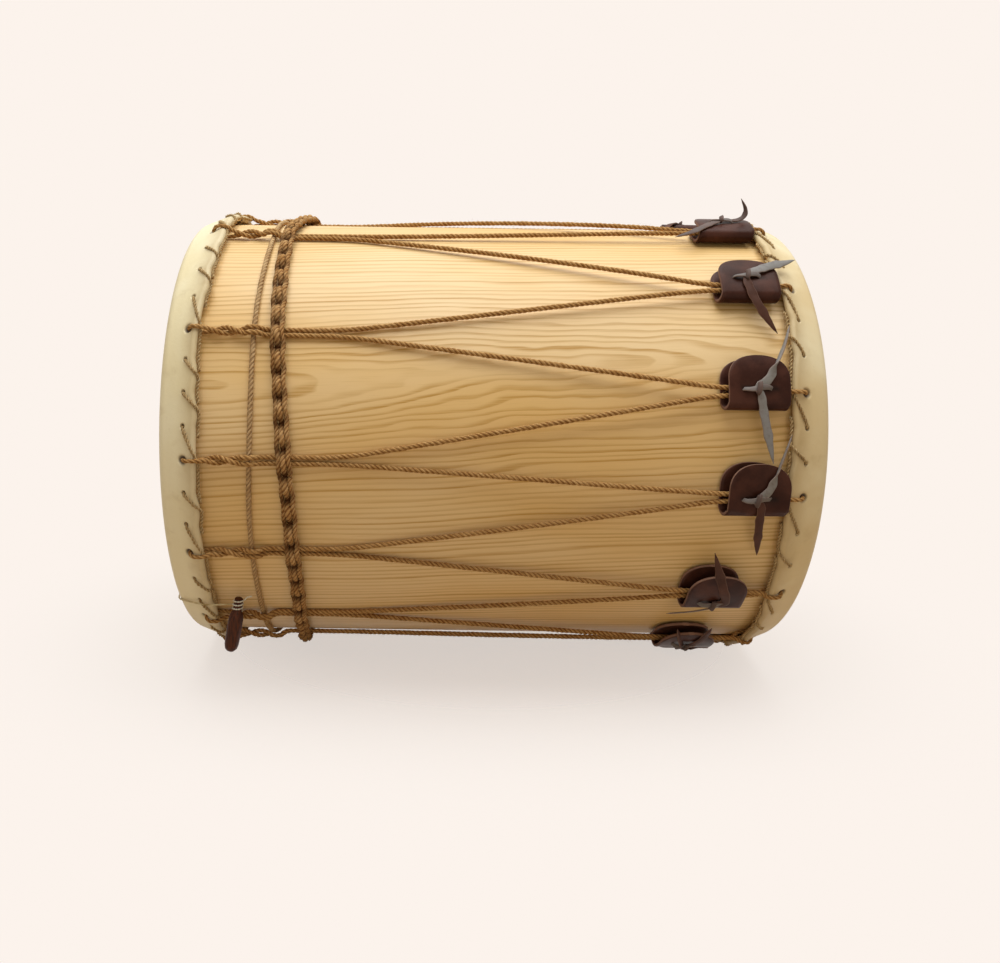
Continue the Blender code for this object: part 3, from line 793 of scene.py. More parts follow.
@dataclass
class Surface:
    """A mesh in the making: its points, its faces and its numbers at each point."""

    points: Array
    faces: list[Sequence[int]]
    values: dict[str, Array] = field(default_factory=dict)

    @classmethod
    def swept(cls, rings: Array, values: dict[str, Array] | None = None,
              closed: bool = False) -> "Surface":
        """Join rings of points into a skin, capped at both ends unless it is a ring itself.

        Args:
            rings: An array of rings, each an array of points.
            values: Numbers at each point, as arrays of the rings' shape.
            closed: Whether the last ring joins the first.

        Returns:
            The swept surface.
        """
        count, size = rings.shape[:2]
        index = np.arange(count * size).reshape(count, size)
        here = index if closed else index[:-1]
        after = np.roll(index, -1, axis=0) if closed else index[1:]
        quads = np.stack([here, np.roll(here, -1, 1), np.roll(after, -1, 1), after], axis=-1)
        faces: list[Sequence[int]] = quads.reshape(-1, 4).tolist()
        if not closed:
            faces += [index[0][::-1].tolist(), index[-1].tolist()]
        flat = {name: value.reshape(-1, *value.shape[2:]) for name, value in (values or {}).items()}
        return cls(rings.reshape(-1, 3), faces, flat)

    def joined(self, other: "Surface") -> "Surface":
        """Take another surface in.

        Args:
            other: A surface that holds the same numbers.

        Returns:
            Both surfaces as one.
        """
        start = len(self.points)
        faces = self.faces + [[start + k for k in face] for face in other.faces]
        values = {name: np.concatenate([value, other.values[name]])
                  for name, value in self.values.items()}
        return Surface(np.vstack([self.points, other.points]), faces, values)

    def press(self, depth: float = 0.0045, rest: float = 0.0003) -> None:
        """Squeeze the part of the surface that the drum's weight presses on the floor, if any.

        Args:
            depth: The height under which the surface gives way.
            rest: The height at which its lowest point ends up.
        """
        height = self.points[:, 2]
        low = float(height.min())
        if low < rest:
            near = height < depth
            height[near] = depth - (depth - height[near]) * (depth - rest) / (depth - low)

    def settle(self, name: str, finish: Finish, body: str, node: str, sharp: float = 60.0) -> None:
        """Make a smooth-shaded piece of the surface, which rides on a body and stands for a node.

        Args:
            name: The piece's name.
            finish: Its finish.
            body: The body that it rides on.
            node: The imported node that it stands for.
            sharp: The angle in degrees past which an edge stays sharp.
        """
        mesh = bpy.data.meshes.new(name)
        mesh.from_pydata(self.points.tolist(), [], self.faces)
        for key, value in self.values.items():
            kind, part = ("FLOAT_VECTOR", "vector") if value.ndim == 2 else ("FLOAT", "value")
            made = mesh.attributes.new(key, kind, "POINT")
            made.data.foreach_set(part, value.astype(np.float32).ravel())
        mesh.validate()
        mesh.shade_smooth()
        mesh.set_sharp_from_angle(angle=math.radians(sharp))
        mesh.materials.append(finish.material)
        piece = bpy.data.objects.new(name, mesh)
        bpy.context.scene.collection.objects.link(piece)
        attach(piece, body)
        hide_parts(node)
        log.info("%s rides on %s", name, body)


@dataclass(frozen=True)
class Lay:
    """How a rope or a twine is laid up, and how hairy it is."""

    radius: float
    strands: int = 3
    pitch: float = 0.0100
    fullness: float = 0.68
    points: int = 5
    step: float = 0.0011
    hairs: float = 0.0
    hair_length: float = 0.0035
    unevenness: float = 0.05
    swell_waves: int = 7
    swell_scale: float = 2.6
    hair_sizes: tuple[float, float, float] = (0.00005, 0.00004, 0.000012)

    def section(self) -> tuple[Array, Array, Array]:
        """Draw the rope's cross-section.

        Returns:
            The angle, the share of the radius and the depth of the groove at each point.
        """
        count = self.strands * self.points
        angle = np.arange(count) * math.tau / count
        gap = math.tau / self.strands
        off = (angle + gap / 2) % gap - gap / 2
        strand = 1 / (1 + self.fullness)
        centre = 1 - strand
        bow = np.sqrt(np.maximum(strand ** 2 - (centre * np.sin(off)) ** 2, 0))
        reach = centre * np.cos(off) + bow
        return angle, reach, (1 - reach) / max(float((1 - reach).max()), 1e-6)

    def swell(self, turns: Array) -> Array:
        """Work out how unevenly the rope is spun.

        Args:
            turns: The turns of the strands up to each point.

        Returns:
            The share of its thickness that the rope has at each point.
        """
        rng = np.random.default_rng(SEED + len(turns))
        rates = np.round(rng.uniform(0.05, 0.9, self.swell_waves) * turns[-1])
        phases = rng.uniform(0, math.tau, self.swell_waves)
        run = turns / turns[-1] * math.tau
        waves = sum(np.sin(r * run + p) for r, p in zip(rates, phases))
        return 1 + self.unevenness * waves / self.swell_scale

    def sweep(self, line: Array, closed: bool = False, thin: Array | None = None,
              shade: Array | None = None) -> Surface:
        """Lay the rope along a line of even points.

        Args:
            line: The rope's middle.
            closed: Whether the rope is a ring.
            thin: The share of its thickness at each point, if it varies.
            shade: How much painted shade the rope has at each point, if it varies.

        Returns:
            The rope's surface, with its grooves and strands.
        """
        first, second = carried_frames(line, closed)
        gaps = np.linalg.norm(np.diff(line, axis=0), axis=1)
        run = np.concatenate([[0], np.cumsum(gaps)])
        turns, shift = run / self.pitch, 0
        if closed:
            whole = run[-1] + float(np.linalg.norm(line[0] - line[-1]))
            shares = max(1, round(whole / self.pitch * self.strands))
            turns = run / whole * shares / self.strands
            shift = (shares % self.strands) * self.points
        angle, reach, depth = self.section()
        phase = angle[None, :] + math.tau * turns[:, None]
        size = self.radius * reach[None, :] * (1.0 if thin is None else thin[:, None])
        size = size * self.swell(turns)[:, None]
        rings = tube(line, first, second, size, phase)
        strand = [np.broadcast_to(part, size.shape) for part in (
            run[:, None], np.cos(angle) * self.radius, np.sin(angle) * self.radius)]
        values = {"groove": np.broadcast_to(depth, size.shape), "strand": np.stack(strand, axis=-1),
                  "shade": np.zeros(size.shape) + (0 if shade is None else shade[:, None])}
        if shift:
            rings, *moved = (np.concatenate([rows, np.roll(rows[:1], shift, axis=1)])
                             for rows in (rings, *values.values()))
            values = dict(zip(values, moved))
        made = Surface.swept(rings, values, closed and not shift)
        return made.joined(self.fuzz(line, first, second)) if self.hairs else made

    def fuzz(self, line: Array, first: Array, second: Array) -> Surface:
        """Make the loose fibres that stand off the rope.

        Args:
            line: The rope's middle.
            first: A vector square to the rope at each point.
            second: A vector square to both.

        Returns:
            The fibres' surface.
        """
        rng = np.random.default_rng(SEED + len(line))
        length = float(np.linalg.norm(np.diff(line, axis=0), axis=1).sum())
        count = max(1, round(length * self.hairs))
        at = rng.integers(1, len(line) - 2, count)
        turn = rng.uniform(0, math.tau, count)[:, None]
        out = first[at] * np.cos(turn) + second[at] * np.sin(turn)
        ahead = unit(line[at + 1] - line[at - 1])
        side = np.cross(out, ahead)
        lean = rng.uniform(-1.6, 1.6, count)[:, None]
        curl = rng.uniform(-0.7, 0.7, count)[:, None]
        reach = (self.hair_length * rng.uniform(0.35, 1.0, count))[:, None]
        root = line[at] + out * self.radius * 0.8
        middle = root + (out * 0.45 + ahead * lean * 0.35 + side * curl * 0.2) * reach
        tip = root + (out * 0.75 + ahead * lean * 0.8 + side * curl * 0.8) * reach
        corners = np.arange(3)[None, :] * math.tau / 3
        points = np.stack([tube(place, side, ahead, size, corners)
                           for place, size in zip((root, middle, tip), self.hair_sizes)], axis=1)
        hair = [[3 * r + c, 3 * r + (c + 1) % 3, 3 * r + 3 + (c + 1) % 3, 3 * r + 3 + c]
                for r in range(2) for c in range(3)] + [[2, 1, 0], [6, 7, 8]]
        faces = [[9 * k + corner for corner in face] for k in range(count) for face in hair]
        flat = points.reshape(-1, 3)
        plain = np.zeros(len(flat))
        return Surface(flat, faces, {"groove": plain, "strand": flat * 3.0, "shade": plain})


@dataclass
class Shell:
    """The wooden shell with its rounded bearing edges."""

    drum: Drum
    finishes: Finishes
    wall: float = 0.008
    segments: int = 288
    edge_steps: int = 6
    length_steps: int = 24
    bore_steps: int = 6
    sharp: float = 50.0

    def build(self) -> None:
        """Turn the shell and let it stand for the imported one."""
        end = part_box("shell")[1].x
        radius, edge = self.drum.radius, self.drum.sizes.bearing_edge
        right = arc(np.array((end - edge, radius - edge)), edge, math.pi / 2, 0, self.edge_steps)
        barrel = np.linspace(-end + edge, end - edge, self.length_steps)[1:-1]
        bore = np.linspace(end, -end, self.bore_steps)
        outer, inner = (np.stack([x, np.full_like(x, reach)], axis=1)
                        for x, reach in ((barrel, radius), (bore, radius - self.wall)))
        outline = np.vstack([right[::-1] * (-1, 1), outer, right, inner])
        around = np.arange(self.segments) * math.tau / self.segments
        route = np.broadcast_arrays(outline[None, :, 0], -around[:, None],
                                    outline[None, :, 1] - radius)
        made = Surface.swept(self.drum.lift(np.stack(route, axis=-1)), closed=True)
        made.settle("drum_shell", self.finishes.shell, DRUM_BODY, "shell", self.sharp)


@dataclass
class Head:
    """One skin, folded round its hoop, with its holes and its lacing."""

    drum: Drum
    side: Side
    ropes: list[float]
    finishes: Finishes
    tan: float = 0.0
    wave: float = 0.0013
    wave_counts: tuple[int, ...] = (3, 5, 8, 13, 21, 34)
    stitch_pull: float = 0.0007
    stitch_pull_width: float = 0.004
    rope_lift: float = 0.0009
    rope_lift_width: float = 0.009
    hole_half: tuple[float, float] = (0.0015, 0.0011)
    rope_hole_half: tuple[float, float] = (0.0026, 0.0024)
    hole_depth: float = 0.0019
    hole_rim: float = 1.35
    hole_soft: float = 0.7
    skirt_before_holes: float = 0.006
    skirt_rise: float = 0.003
    fold_past: float = 0.5
    widest_column: float = 0.0032
    fine_reach: float = 1.9
    fine_columns: int = 13
    hoop_steps: int = 360
    wire_sides: int = 8
    sharp: float = 70.0

    def __post_init__(self) -> None:
        """Place the stitches, draw the fold's unevenness and find the skin's corners."""
        self.word = self.side.name.lower()
        self.stitches = self.stitch_angles()
        self.holes = ((self.stitches, self.hole_half), (self.ropes, self.rope_hole_half))
        rng = np.random.default_rng(SEED + self.side.value)
        self.waves = [(n, rng.uniform(0, math.tau), rng.uniform(0.3, 1.0) / (1 + n / 14))
                      for n in self.wave_counts]
        s, reach = self.drum.sizes, self.drum.fold_reach
        self.corner_reach = s.bearing_edge + s.clearance + s.skin
        self.corner = np.array((self.corner_reach, -s.bearing_edge))
        self.hoop = np.array((s.fold_inset - reach, self.drum.hoop_gap + reach))
        run = self.hoop - self.corner
        slack = math.acos((self.corner_reach - reach) / np.hypot(*run))
        self.square = math.atan2(run[1], run[0]) + slack

    def stitch_angles(self) -> list[float]:
        """Spread the stitches between the falling angles of the rope holes.

        Returns:
            The stitches' angles.
        """
        found: list[float] = []
        for high, low in zip(self.ropes, self.ropes[1:] + [self.ropes[0] - math.tau]):
            count = max(2, round((high - low) / self.drum.sizes.stitch_step) - 1)
            found += [high - (high - low) * (k + 1) / (count + 1) for k in range(count)]
        return found

    def fold_shift(self, angle: Array) -> Array:
        """Work out how far the fold's edge strays along the drum.

        Args:
            angle: The angles that are asked for.

        Returns:
            How much further in the fold lies at each.
        """
        stray = sum(w * np.sin(n * angle + p) for n, p, w in self.waves)
        pull = self.drum.nearness(angle, self.stitches, self.stitch_pull_width)
        return self.wave * stray - self.stitch_pull * pull

    def fold_lift(self, angle: Array) -> Array:
        """Return how far the fold lifts where ropes pass under it."""
        return self.rope_lift * self.drum.nearness(angle, self.ropes, self.rope_lift_width)

    def lifted(self, inset: Array, angle: Array, rise: Array) -> Array:
        """Return the points at some insets, angles and rises."""
        route = np.broadcast_arrays(self.drum.along(self.side, inset), angle, rise)
        return self.drum.lift(np.stack(route, axis=-1))

    def columns(self) -> Array:
        """Space the mesh's columns, close together at the holes.

        Returns:
            The columns' angles.
        """
        radius = self.drum.radius
        spread = np.linspace(-self.fine_reach, self.fine_reach, self.fine_columns)
        fine = [angle + spread * half / radius
                for group, (half, _) in self.holes for angle in group]
        fine = np.sort(np.concatenate(fine) % math.tau)
        gaps = np.diff(np.concatenate([fine, [fine[0] + math.tau]]))
        wide = self.widest_column / radius
        extra = [start + gap * (np.arange(1, n) / n) for start, gap in zip(fine, gaps)
                 if (n := math.ceil(gap / wide)) > 1]
        return np.sort(np.concatenate([fine, *extra]) % math.tau)

    def skin_line(self, depth: float, disc: int, rim: int, slope: int,
                  fold: int) -> tuple[Array, Array]:
        """Draw the skin's line at a depth below its outer face, from its middle to its fold.

        Args:
            depth: The depth.
            disc: How many points lie on the flat.
            rim: How many steps go round the bearing edge.
            slope: How many points lie on the slope between rim and fold.
            fold: How many steps go round the hoop.

        Returns:
            The (inset, rise) rows, and how far each follows the fold.
        """
        flat = np.stack([np.full(disc, depth), np.linspace(
            -self.drum.radius, -self.drum.sizes.bearing_edge, disc + 1)[:-1]], axis=1)
        edge = arc(self.corner, self.corner_reach - depth, math.pi, self.square, rim)
        turn = arc(self.hoop, self.drum.fold_reach - depth, self.square,
                   -math.pi / 2 - self.fold_past, fold)
        share = np.linspace(0, 1, slope + 2)[1:-1, None]
        skirt = edge[-1] + (turn[0] - edge[-1]) * share
        still = np.zeros(len(flat) + len(edge))
        return (np.vstack([flat, edge, skirt, turn]),
                np.concatenate([still, share[:, 0] ** 2, np.ones(len(turn))]))

    def hole_depths(self, inset: Array, angle: Array) -> Array:
        """Find the places of the skirt that lie in a hole.

        Args:
            inset: The places' insets.
            angle: Their angles.

        Returns:
            How deep in a hole each place is, from 0 to 1.
        """
        deep = np.zeros(np.broadcast_shapes(inset.shape, angle.shape))
        for group, (half, half_along) in self.holes:
            for hole in group:
                off = apart(angle, hole) * self.drum.radius / half
                if (np.abs(off) < self.hole_rim).any():
                    far = np.hypot(off, (inset - self.drum.sizes.hole_inset) / half_along)
                    share = np.clip(self.hole_rim - far, 0, self.hole_soft) / self.hole_soft
                    deep = np.maximum(deep, eased(share))
        return deep

    def build_skin(self) -> None:
        """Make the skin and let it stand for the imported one."""
        s = self.drum.sizes
        outer, outer_follow = self.skin_line(0.0, disc=10, rim=8, slope=26, fold=12)
        inner, inner_follow = self.skin_line(s.skin, disc=4, rim=4, slope=6, fold=6)
        outline = np.vstack([outer, inner[::-1]])
        follow = np.concatenate([outer_follow, inner_follow[::-1]])
        around = self.columns()
        inset = outline[None, :, 0] + follow * self.fold_shift(around)[:, None]
        rise = outline[None, :, 1] + follow * self.fold_lift(around)[:, None]
        skirt = ((outline[:, 0] > s.hole_inset - self.skirt_before_holes)
                 & (outline[:, 1] > self.skirt_rise))
        deep = self.hole_depths(inset, around[:, None]) * skirt
        worn = np.clip(follow * 1.2 - 0.2, 0, 1)[None, :] * np.ones_like(inset)
        rings = self.lifted(inset, around[:, None],
                            np.maximum(rise - deep * self.hole_depth, -self.drum.radius))
        if self.side is Side.LEFT:
            rings, deep, worn = rings[::-1], deep[::-1], worn[::-1]
        # The hole value also paints shade into the holes' dimples
        values = {"hole": deep, "worn": worn, "tan": np.full(deep.shape, self.tan)}
        made = Surface.swept(rings, values, closed=True)
        made.settle("skin_" + self.word, self.finishes.rawhide, DRUM_BODY, "head_" + self.word,
                    self.sharp)

    def build_hoop(self) -> None:
        """Make the wire hoop inside the fold."""
        around = np.linspace(0, math.tau, self.hoop_steps + 1)[:-1]
        line = self.lifted(self.hoop[0] + self.fold_shift(around), around,
                           self.hoop[1] + self.fold_lift(around))
        turn = np.arange(self.wire_sides)[None, :] * math.tau / self.wire_sides
        rings = tube(line, *carried_frames(line, True), self.drum.sizes.hoop_wire / 2, turn)
        Surface.swept(rings, closed=True).settle(
            "hoop_wire_" + self.word, self.finishes.wire, DRUM_BODY, "hoop_" + self.word)

    def skin_rise(self, inset: float) -> float:
        """Return the rise of the sloping skin's outer face at an inset."""
        start = self.corner + self.corner_reach * spoke(self.square)
        return float(start[1] - (inset - start[0]) / math.tan(self.square))

    def build_lacing(self) -> None:
        """Make the twine that goes out of each hole, along the fold, under it and into the next."""
        s = self.drum.sizes
        reach = self.drum.fold_reach + s.twine / 2 + s.clearance
        over, crest, edge, under, back = self.hoop + reach * spoke(np.radians((84, 40, 2, -42, -100)))
        top = self.skin_rise(s.hole_inset)
        mouth = (s.hole_inset, top - 0.001)
        outside = (s.hole_inset + 0.0004, top + s.twine / 2 + 2 * s.clearance)
        inside = (s.hole_inset, self.drum.hoop_gap)
        steps = [(0.0, mouth, 0), (0.05, outside, 0), (0.34, over, 1), (0.46, crest, 1),
                 (0.56, edge, 1), (0.80, edge, 1), (1.05, edge, 1), (1.30, edge, 1),
                 (1.27, under, 1), (1.16, back, 1), (1.0, inside, 0)]
        left = self.side is Side.LEFT
        order = self.stitches if left else self.stitches[::-1]
        rows = []
        for here, after in zip(order, order[1:] + [order[0] - (math.tau if left else -math.tau)]):
            for share, (inset, rise), follow in steps:
                past = math.copysign(s.stitch_step * max(share - 1, 0), after - here)
                rows.append((inset, here + (after - here) * min(share, 1) + past, rise, follow))
        inset, angle, rise, follow = np.array(rows).T
        route = self.lifted(inset + follow * self.fold_shift(angle), angle,
                            rise + follow * self.fold_lift(angle))
        lay = Lay(0.68 * s.twine, strands=2, pitch=0.0052, fullness=0.8, step=0.0006, hairs=420,
                  hair_length=0.0024, unevenness=0.10)
        line = resampled(rounded(route, 2, closed=True), lay.step, True)
        lay.sweep(line, closed=True).settle(
            "lacing_twine_" + self.word, self.finishes.twine, DRUM_BODY, "lacing_" + self.word)

    def build(self) -> None:
        """Make the head's pieces."""
        self.build_skin()
        self.build_hoop()
        self.build_lacing()


@dataclass
class Ropes:
    """The tension rope, the rope that rings the shell, and the carrying plait."""

    drum: Drum
    heads: dict[Side, Head]
    finishes: Finishes
    pair_gap: float = 0.0003
    climb_before_tugs: float = 0.030
    strand_steps: int = 6
    twist_steps: int = 6
    knot_tug: int = 10
    knot_half: float = 0.0010
    knot_length: float = 0.0104
    knot_reach: float = 0.0026
    knot_turns: float = 3.5
    knot_points: int = 85
    ring_steps: int = 720
    ring_sway: tuple[float, float] = (0.0016, 0.0005)
    ring_quick_waves: int = 7
    links: int = 62
    link_steps: int = 30
    link_rope: float = 0.0040
    link_lag: float = 0.16
    side_share: float = 0.82
    hump_width: float = 0.016
    hump_height: float = 0.0026

    def __post_init__(self) -> None:
        """Work out how the rope is laid, how far its strands lie apart and where they climb."""
        s = self.drum.sizes
        self.lay = Lay(s.rope / 2, hairs=620, hair_length=0.0030)
        self.pair = s.rope / 2 + self.pair_gap / 2
        self.hop = self.drum.rope_low + s.rope + s.clearance
        self.rise_end = min(self.drum.tug_places) - self.climb_before_tugs

    def fold_turn(self, side: Side, angle: float) -> list[Station]:
        """Lay the rope over a fold, into its hole and out under the fold.

        Args:
            side: The head.
            angle: The hole's angle.

        Returns:
            The rope's stations.
        """
        s, head = self.drum.sizes, self.heads[side]
        shift = float(head.fold_shift(np.array(angle)))
        lift = float(head.fold_lift(np.array(angle)))
        top = self.drum.hoop_gap + 2 * self.drum.fold_reach + lift + 0.36 * s.rope
        skin = head.skin_rise(s.hole_inset)
        hoop = head.hoop[0] + shift
        steps = [
            (s.fold_inset + shift + 0.35 * s.rope, top - 0.30 * s.rope, 0.9),
            (hoop + 0.001, top, 0.8),
            (s.hole_inset + 0.0022, top - 0.05 * s.rope, 0.78),
            (s.hole_inset, skin, 0.72),
            (s.hole_inset, 0.55 * skin, 0.6),
            (hoop, self.drum.hoop_gap / 2, 0.5),
        ]
        return [(self.drum.along(side, inset), angle, rise, thin) for inset, rise, thin in steps]

    def left_turn(self, angle: float) -> list[Station]:
        """Lay the rope from one strand of a left pair, round the fold, to the other strand.

        Args:
            angle: The angle of the pair's hole.

        Returns:
            The rope's stations.
        """
        s, low = self.drum.sizes, self.drum.rope_low
        turn = self.pair / (self.drum.radius + low)
        middle = low + self.pair
        clear = s.ring_inset + 1.9 * s.rope
        start, end = s.fold_inset + 1.6 * s.rope, s.ring_inset - 1.3 * s.rope
        straight = [(s.split_inset, low), (clear + 0.012, low), (clear, low),
                    (s.ring_inset + 0.004, self.hop), (s.ring_inset - 0.003, self.hop)]
        shares = [k / self.twist_steps for k in range(self.twist_steps, -1, -1)]
        twist = [(start + (end - start) * k, math.pi / 2 + 1.5 * math.pi * k) for k in shares]
        strands = []
        for sign in (1.0, -1.0):
            rows = [(inset, sign, rise) for inset, rise in straight]
            rows += [(inset, sign * math.cos(a), middle + sign * self.pair * math.sin(a))
                     for inset, a in twist]
            strands.append([(self.drum.along(Side.LEFT, inset), angle + turn * across, rise, 1.0)
                            for inset, across, rise in rows])
        return strands[0] + self.fold_turn(Side.LEFT, angle) + strands[1][::-1]

    def right_turn(self, index: int) -> list[Station]:
        """Lay the rope through a tug, round the right fold and back through the tug.

        Args:
            index: The tug's number, from 0.

        Returns:
            The rope's stations.
        """
        s, rise, right = self.drum.sizes, self.drum.rope_at_tug, Side.RIGHT
        angle = self.drum.rope_angles[index]
        turn = self.pair / (self.drum.radius + rise)
        left = self.drum.tug_places[index] - s.tug_length / 2 - s.tug_skew / 2
        flap = s.fold_inset + s.tug_gap
        lower = flap + s.tug_skew
        grip = self.drum.along(right, lower + 0.3 * s.rope)
        into = [(left, 1.1, rise, 1.0),
                (grip, 1.0, rise, 0.95),
                (self.drum.along(right, flap), 0.6, rise + 0.1 * s.rope, 0.92)]
        out = [(self.drum.along(right, s.fold_inset + 0.6 * s.rope), -0.3, 0.4 * rise, 0.6),
               (self.drum.along(right, lower - 0.4 * s.rope), -0.6, 0.76 * rise, 0.75),
               (grip, -1.0, rise, 0.9),
               (left, -1.1, rise, 1.0)]
        into, out = ([(x, angle + across * turn, r, thin) for x, across, r, thin in rows]
                     for rows in (into, out))
        return into + self.fold_turn(right, angle) + out

    def strand(self, start: Station, end: Station, places: Sequence[float]) -> list[Station]:
        """Lay the straight strand from a split to a tug.

        Args:
            start: The station at the split.
            end: The station at the tug.
            places: The X of each station that is wanted.

        Returns:
            The stations.
        """
        found = []
        for x in places:
            share = (x - start[0]) / (end[0] - start[0])
            climb = min(1.0, max(0.0, (x - start[0]) / (self.rise_end - start[0])))
            found.append((x, start[1] + (end[1] - start[1]) * share,
                          start[2] + (end[2] - start[2]) * climb ** 1.3, 1.0))
        return found

    def build_tension(self) -> None:
        """Make the rope that zigzags between the heads, its ends meeting in a knot."""
        drum, count, half = self.drum, self.drum.TUG_COUNT, self.knot_half
        split = drum.along(Side.LEFT, drum.sizes.split_inset)
        places = [split + (self.rise_end - split) * k / self.strand_steps
                  for k in range(1, self.strand_steps + 1)]
        stations: list[Station] = []
        for k in range(count):
            node = (self.knot_tug + k) % count
            tug = (node + 1) % count
            lap = math.tau if tug == 0 else 0.0
            turn = [(x, a - lap, r, t) for x, a, r, t in self.right_turn(tug)]
            start = self.left_turn(drum.node_angles[node])
            following = self.left_turn(drum.node_angles[tug] - lap)[0]
            back = self.strand(following, turn[-1], places)[::-1]
            stations += start + self.strand(start[-1], turn[0], places) + turn + back
            if lap:
                stations = [(x, a + lap, r, t) for x, a, r, t in stations]
        last = self.left_turn(drum.node_angles[self.knot_tug])[0]
        end = stations[-len(places) - 1]
        falling = places[::-1]
        stations = stations[:-len(places)]
        stations += self.strand(last, end, [x for x in falling if x > half] + [half])
        lap_on = stations[0][1] - last[1]
        head = [(x, a + lap_on, r, t) for x, a, r, t in self.strand(
            last, end, [-half] + [x for x in falling if x < -half])]
        scale = np.array((1, drum.radius, 1, 1))
        route = rounded(np.array(head + stations) * scale, 3) / scale
        line = resampled(np.hstack([drum.lift(route[:, :3]), route[:, 3:]]), self.lay.step)
        self.lay.sweep(line[:, :3], thin=line[:, 3]).settle(
            "tension_rope_laid", self.finishes.rope, DRUM_BODY, "tension_rope")
        self.build_knot(*self.strand(last, end, [-self.knot_length, self.knot_length]))

    def build_knot(self, before: Station, after: Station) -> None:
        """Make the knot that joins the rope's ends, as turns round the rope with free tails.

        Args:
            before: The rope's station on one side of the knot.
            after: Its station on the other side.
        """
        size, reach = self.drum.sizes.rope, self.knot_reach
        share = np.linspace(0, 1, self.knot_points)
        turn = math.tau * self.knot_turns * share
        coil = np.column_stack([self.knot_length * (share - 0.5), reach * spoke(turn)])
        tail = np.array([(0.0146, 0.0058, -0.0022), (0.0112, 0.0048, -0.0018),
                         (0.0080, 0.0037, -0.0006)])
        local = np.vstack([tail * (-1, 1, 1), coil, (tail * (1, -1, 1))[::-1]])
        (x, angle, rise, _), (end, end_angle, end_rise, _) = before, after
        along = (local[:, 0] - x) / (end - x)
        middle = np.maximum(rise + (end_rise - rise) * along, reach + 0.45 * size)
        turned = angle + (end_angle - angle) * along + local[:, 1] / self.drum.radius
        route = np.stack([local[:, 0], turned, middle + local[:, 2]], axis=1)
        lay = Lay(0.42 * size, pitch=0.009, hairs=500, step=0.0009)
        line = resampled(rounded(self.drum.lift(route), 2), lay.step)
        lay.sweep(line).settle("rope_ends_knot", self.finishes.rope, DRUM_BODY, "rope_knot")

    def build_ring(self) -> None:
        """Make the rope that circles the shell under the rope pairs."""
        turn = np.linspace(0, math.tau, self.ring_steps + 1)[:-1]
        slow, quick = self.ring_sway
        x = self.drum.along(Side.LEFT, self.drum.sizes.ring_inset)
        x = x + slow * np.sin(turn) + quick * np.sin(self.ring_quick_waves * turn)
        route = np.stack([x, turn, np.full_like(turn, self.drum.rope_low)], axis=1)
        line = resampled(self.drum.lift(route), self.lay.step, True)
        self.lay.sweep(line, closed=True).settle(
            "ring_rope_laid", self.finishes.ring, DRUM_BODY, "ring_rope")

    def build_plait(self) -> None:
        """Make the chained rope round the shell: humps that dive between two wavy side strands, with
        painted shade in its pits.
        """
        s, drum, links, size = self.drum.sizes, self.drum, self.links, self.link_rope
        top = drum.axis_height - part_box("carrying_plait")[0].z - drum.radius
        t = np.arange(links * self.link_steps) / self.link_steps
        angle = math.tau * t / links
        ends = np.arange(links + 1)
        drawn = np.random.default_rng(SEED).uniform(-1, 1, links)
        uneven = np.interp(t, ends, drawn[ends % links])
        near = drum.nearness(angle, drum.node_angles, self.hump_width)
        crown = top - size / 2 - (1 - np.clip(near, 0, 1)) * self.hump_height
        sway = s.plait_wave * np.cos(2 * (angle - s.plait_crest))
        middle = drum.along(Side.LEFT, s.plait_inset) - sway
        low, late = (0.5 + 0.5 * np.cos(math.tau * (t - lag)) for lag in (0.0, self.link_lag))
        bulge = 0.0027 + 0.0008 * late + 0.0003 * uneven
        # Each strand's last number is its painted shade: darkest in the middle strand's dips, the
        # pits between the humps, and on the side strands, most where they sink
        strands = [(1.0, -0.0003 + 0.0004 * uneven, -0.0038 * low ** 1.2, low ** 1.4),
                   (self.side_share, bulge, -0.0007 - 0.0012 * late, 0.10 + 0.45 * late ** 2),
                   (self.side_share, -bulge, -0.0011 - 0.0014 * low, 0.22 + 0.60 * low ** 2)]
        made = None
        for share, off, drop, dark in strands:
            lay = Lay(share * size / 2, pitch=0.0098, fullness=0.64, hairs=420, step=0.0010,
                      hair_length=0.0030, unevenness=0.09)
            points = drum.lift(np.stack([middle + off, angle, crown + drop], axis=1))
            line = resampled(np.column_stack([points, dark]), lay.step, True)
            strand = lay.sweep(line[:, :3], closed=True, shade=line[:, 3])
            made = strand if made is None else made.joined(strand)
        made.settle("carrying_plait_chain", self.finishes.plait, DRUM_BODY, "carrying_plait")

    def build(self) -> None:
        """Make all the ropes."""
        self.build_tension()
        self.build_ring()
        self.build_plait()


@dataclass(frozen=True)
class Tail:
    """One loose end of a thong.

    Its route is a row of (x, shift round the shell, lift over the tug) points from the tug's
    middle. It is turned by its twist from a quarter to half of its length on.
    """

    route: tuple[Place, ...]
    width: float = 0.0050
    twist: float = 0.0
    flesh: float = 0.0


@dataclass(frozen=True)
class TugLook:
    """How one tug lies: its place along the rope, its slits, how its flap parts and cups."""

    tails: tuple[Tail, Tail]
    slide: float = 0.0
    slits: float = -0.004
    gape: float = 0.0
    cup: float = 0.0


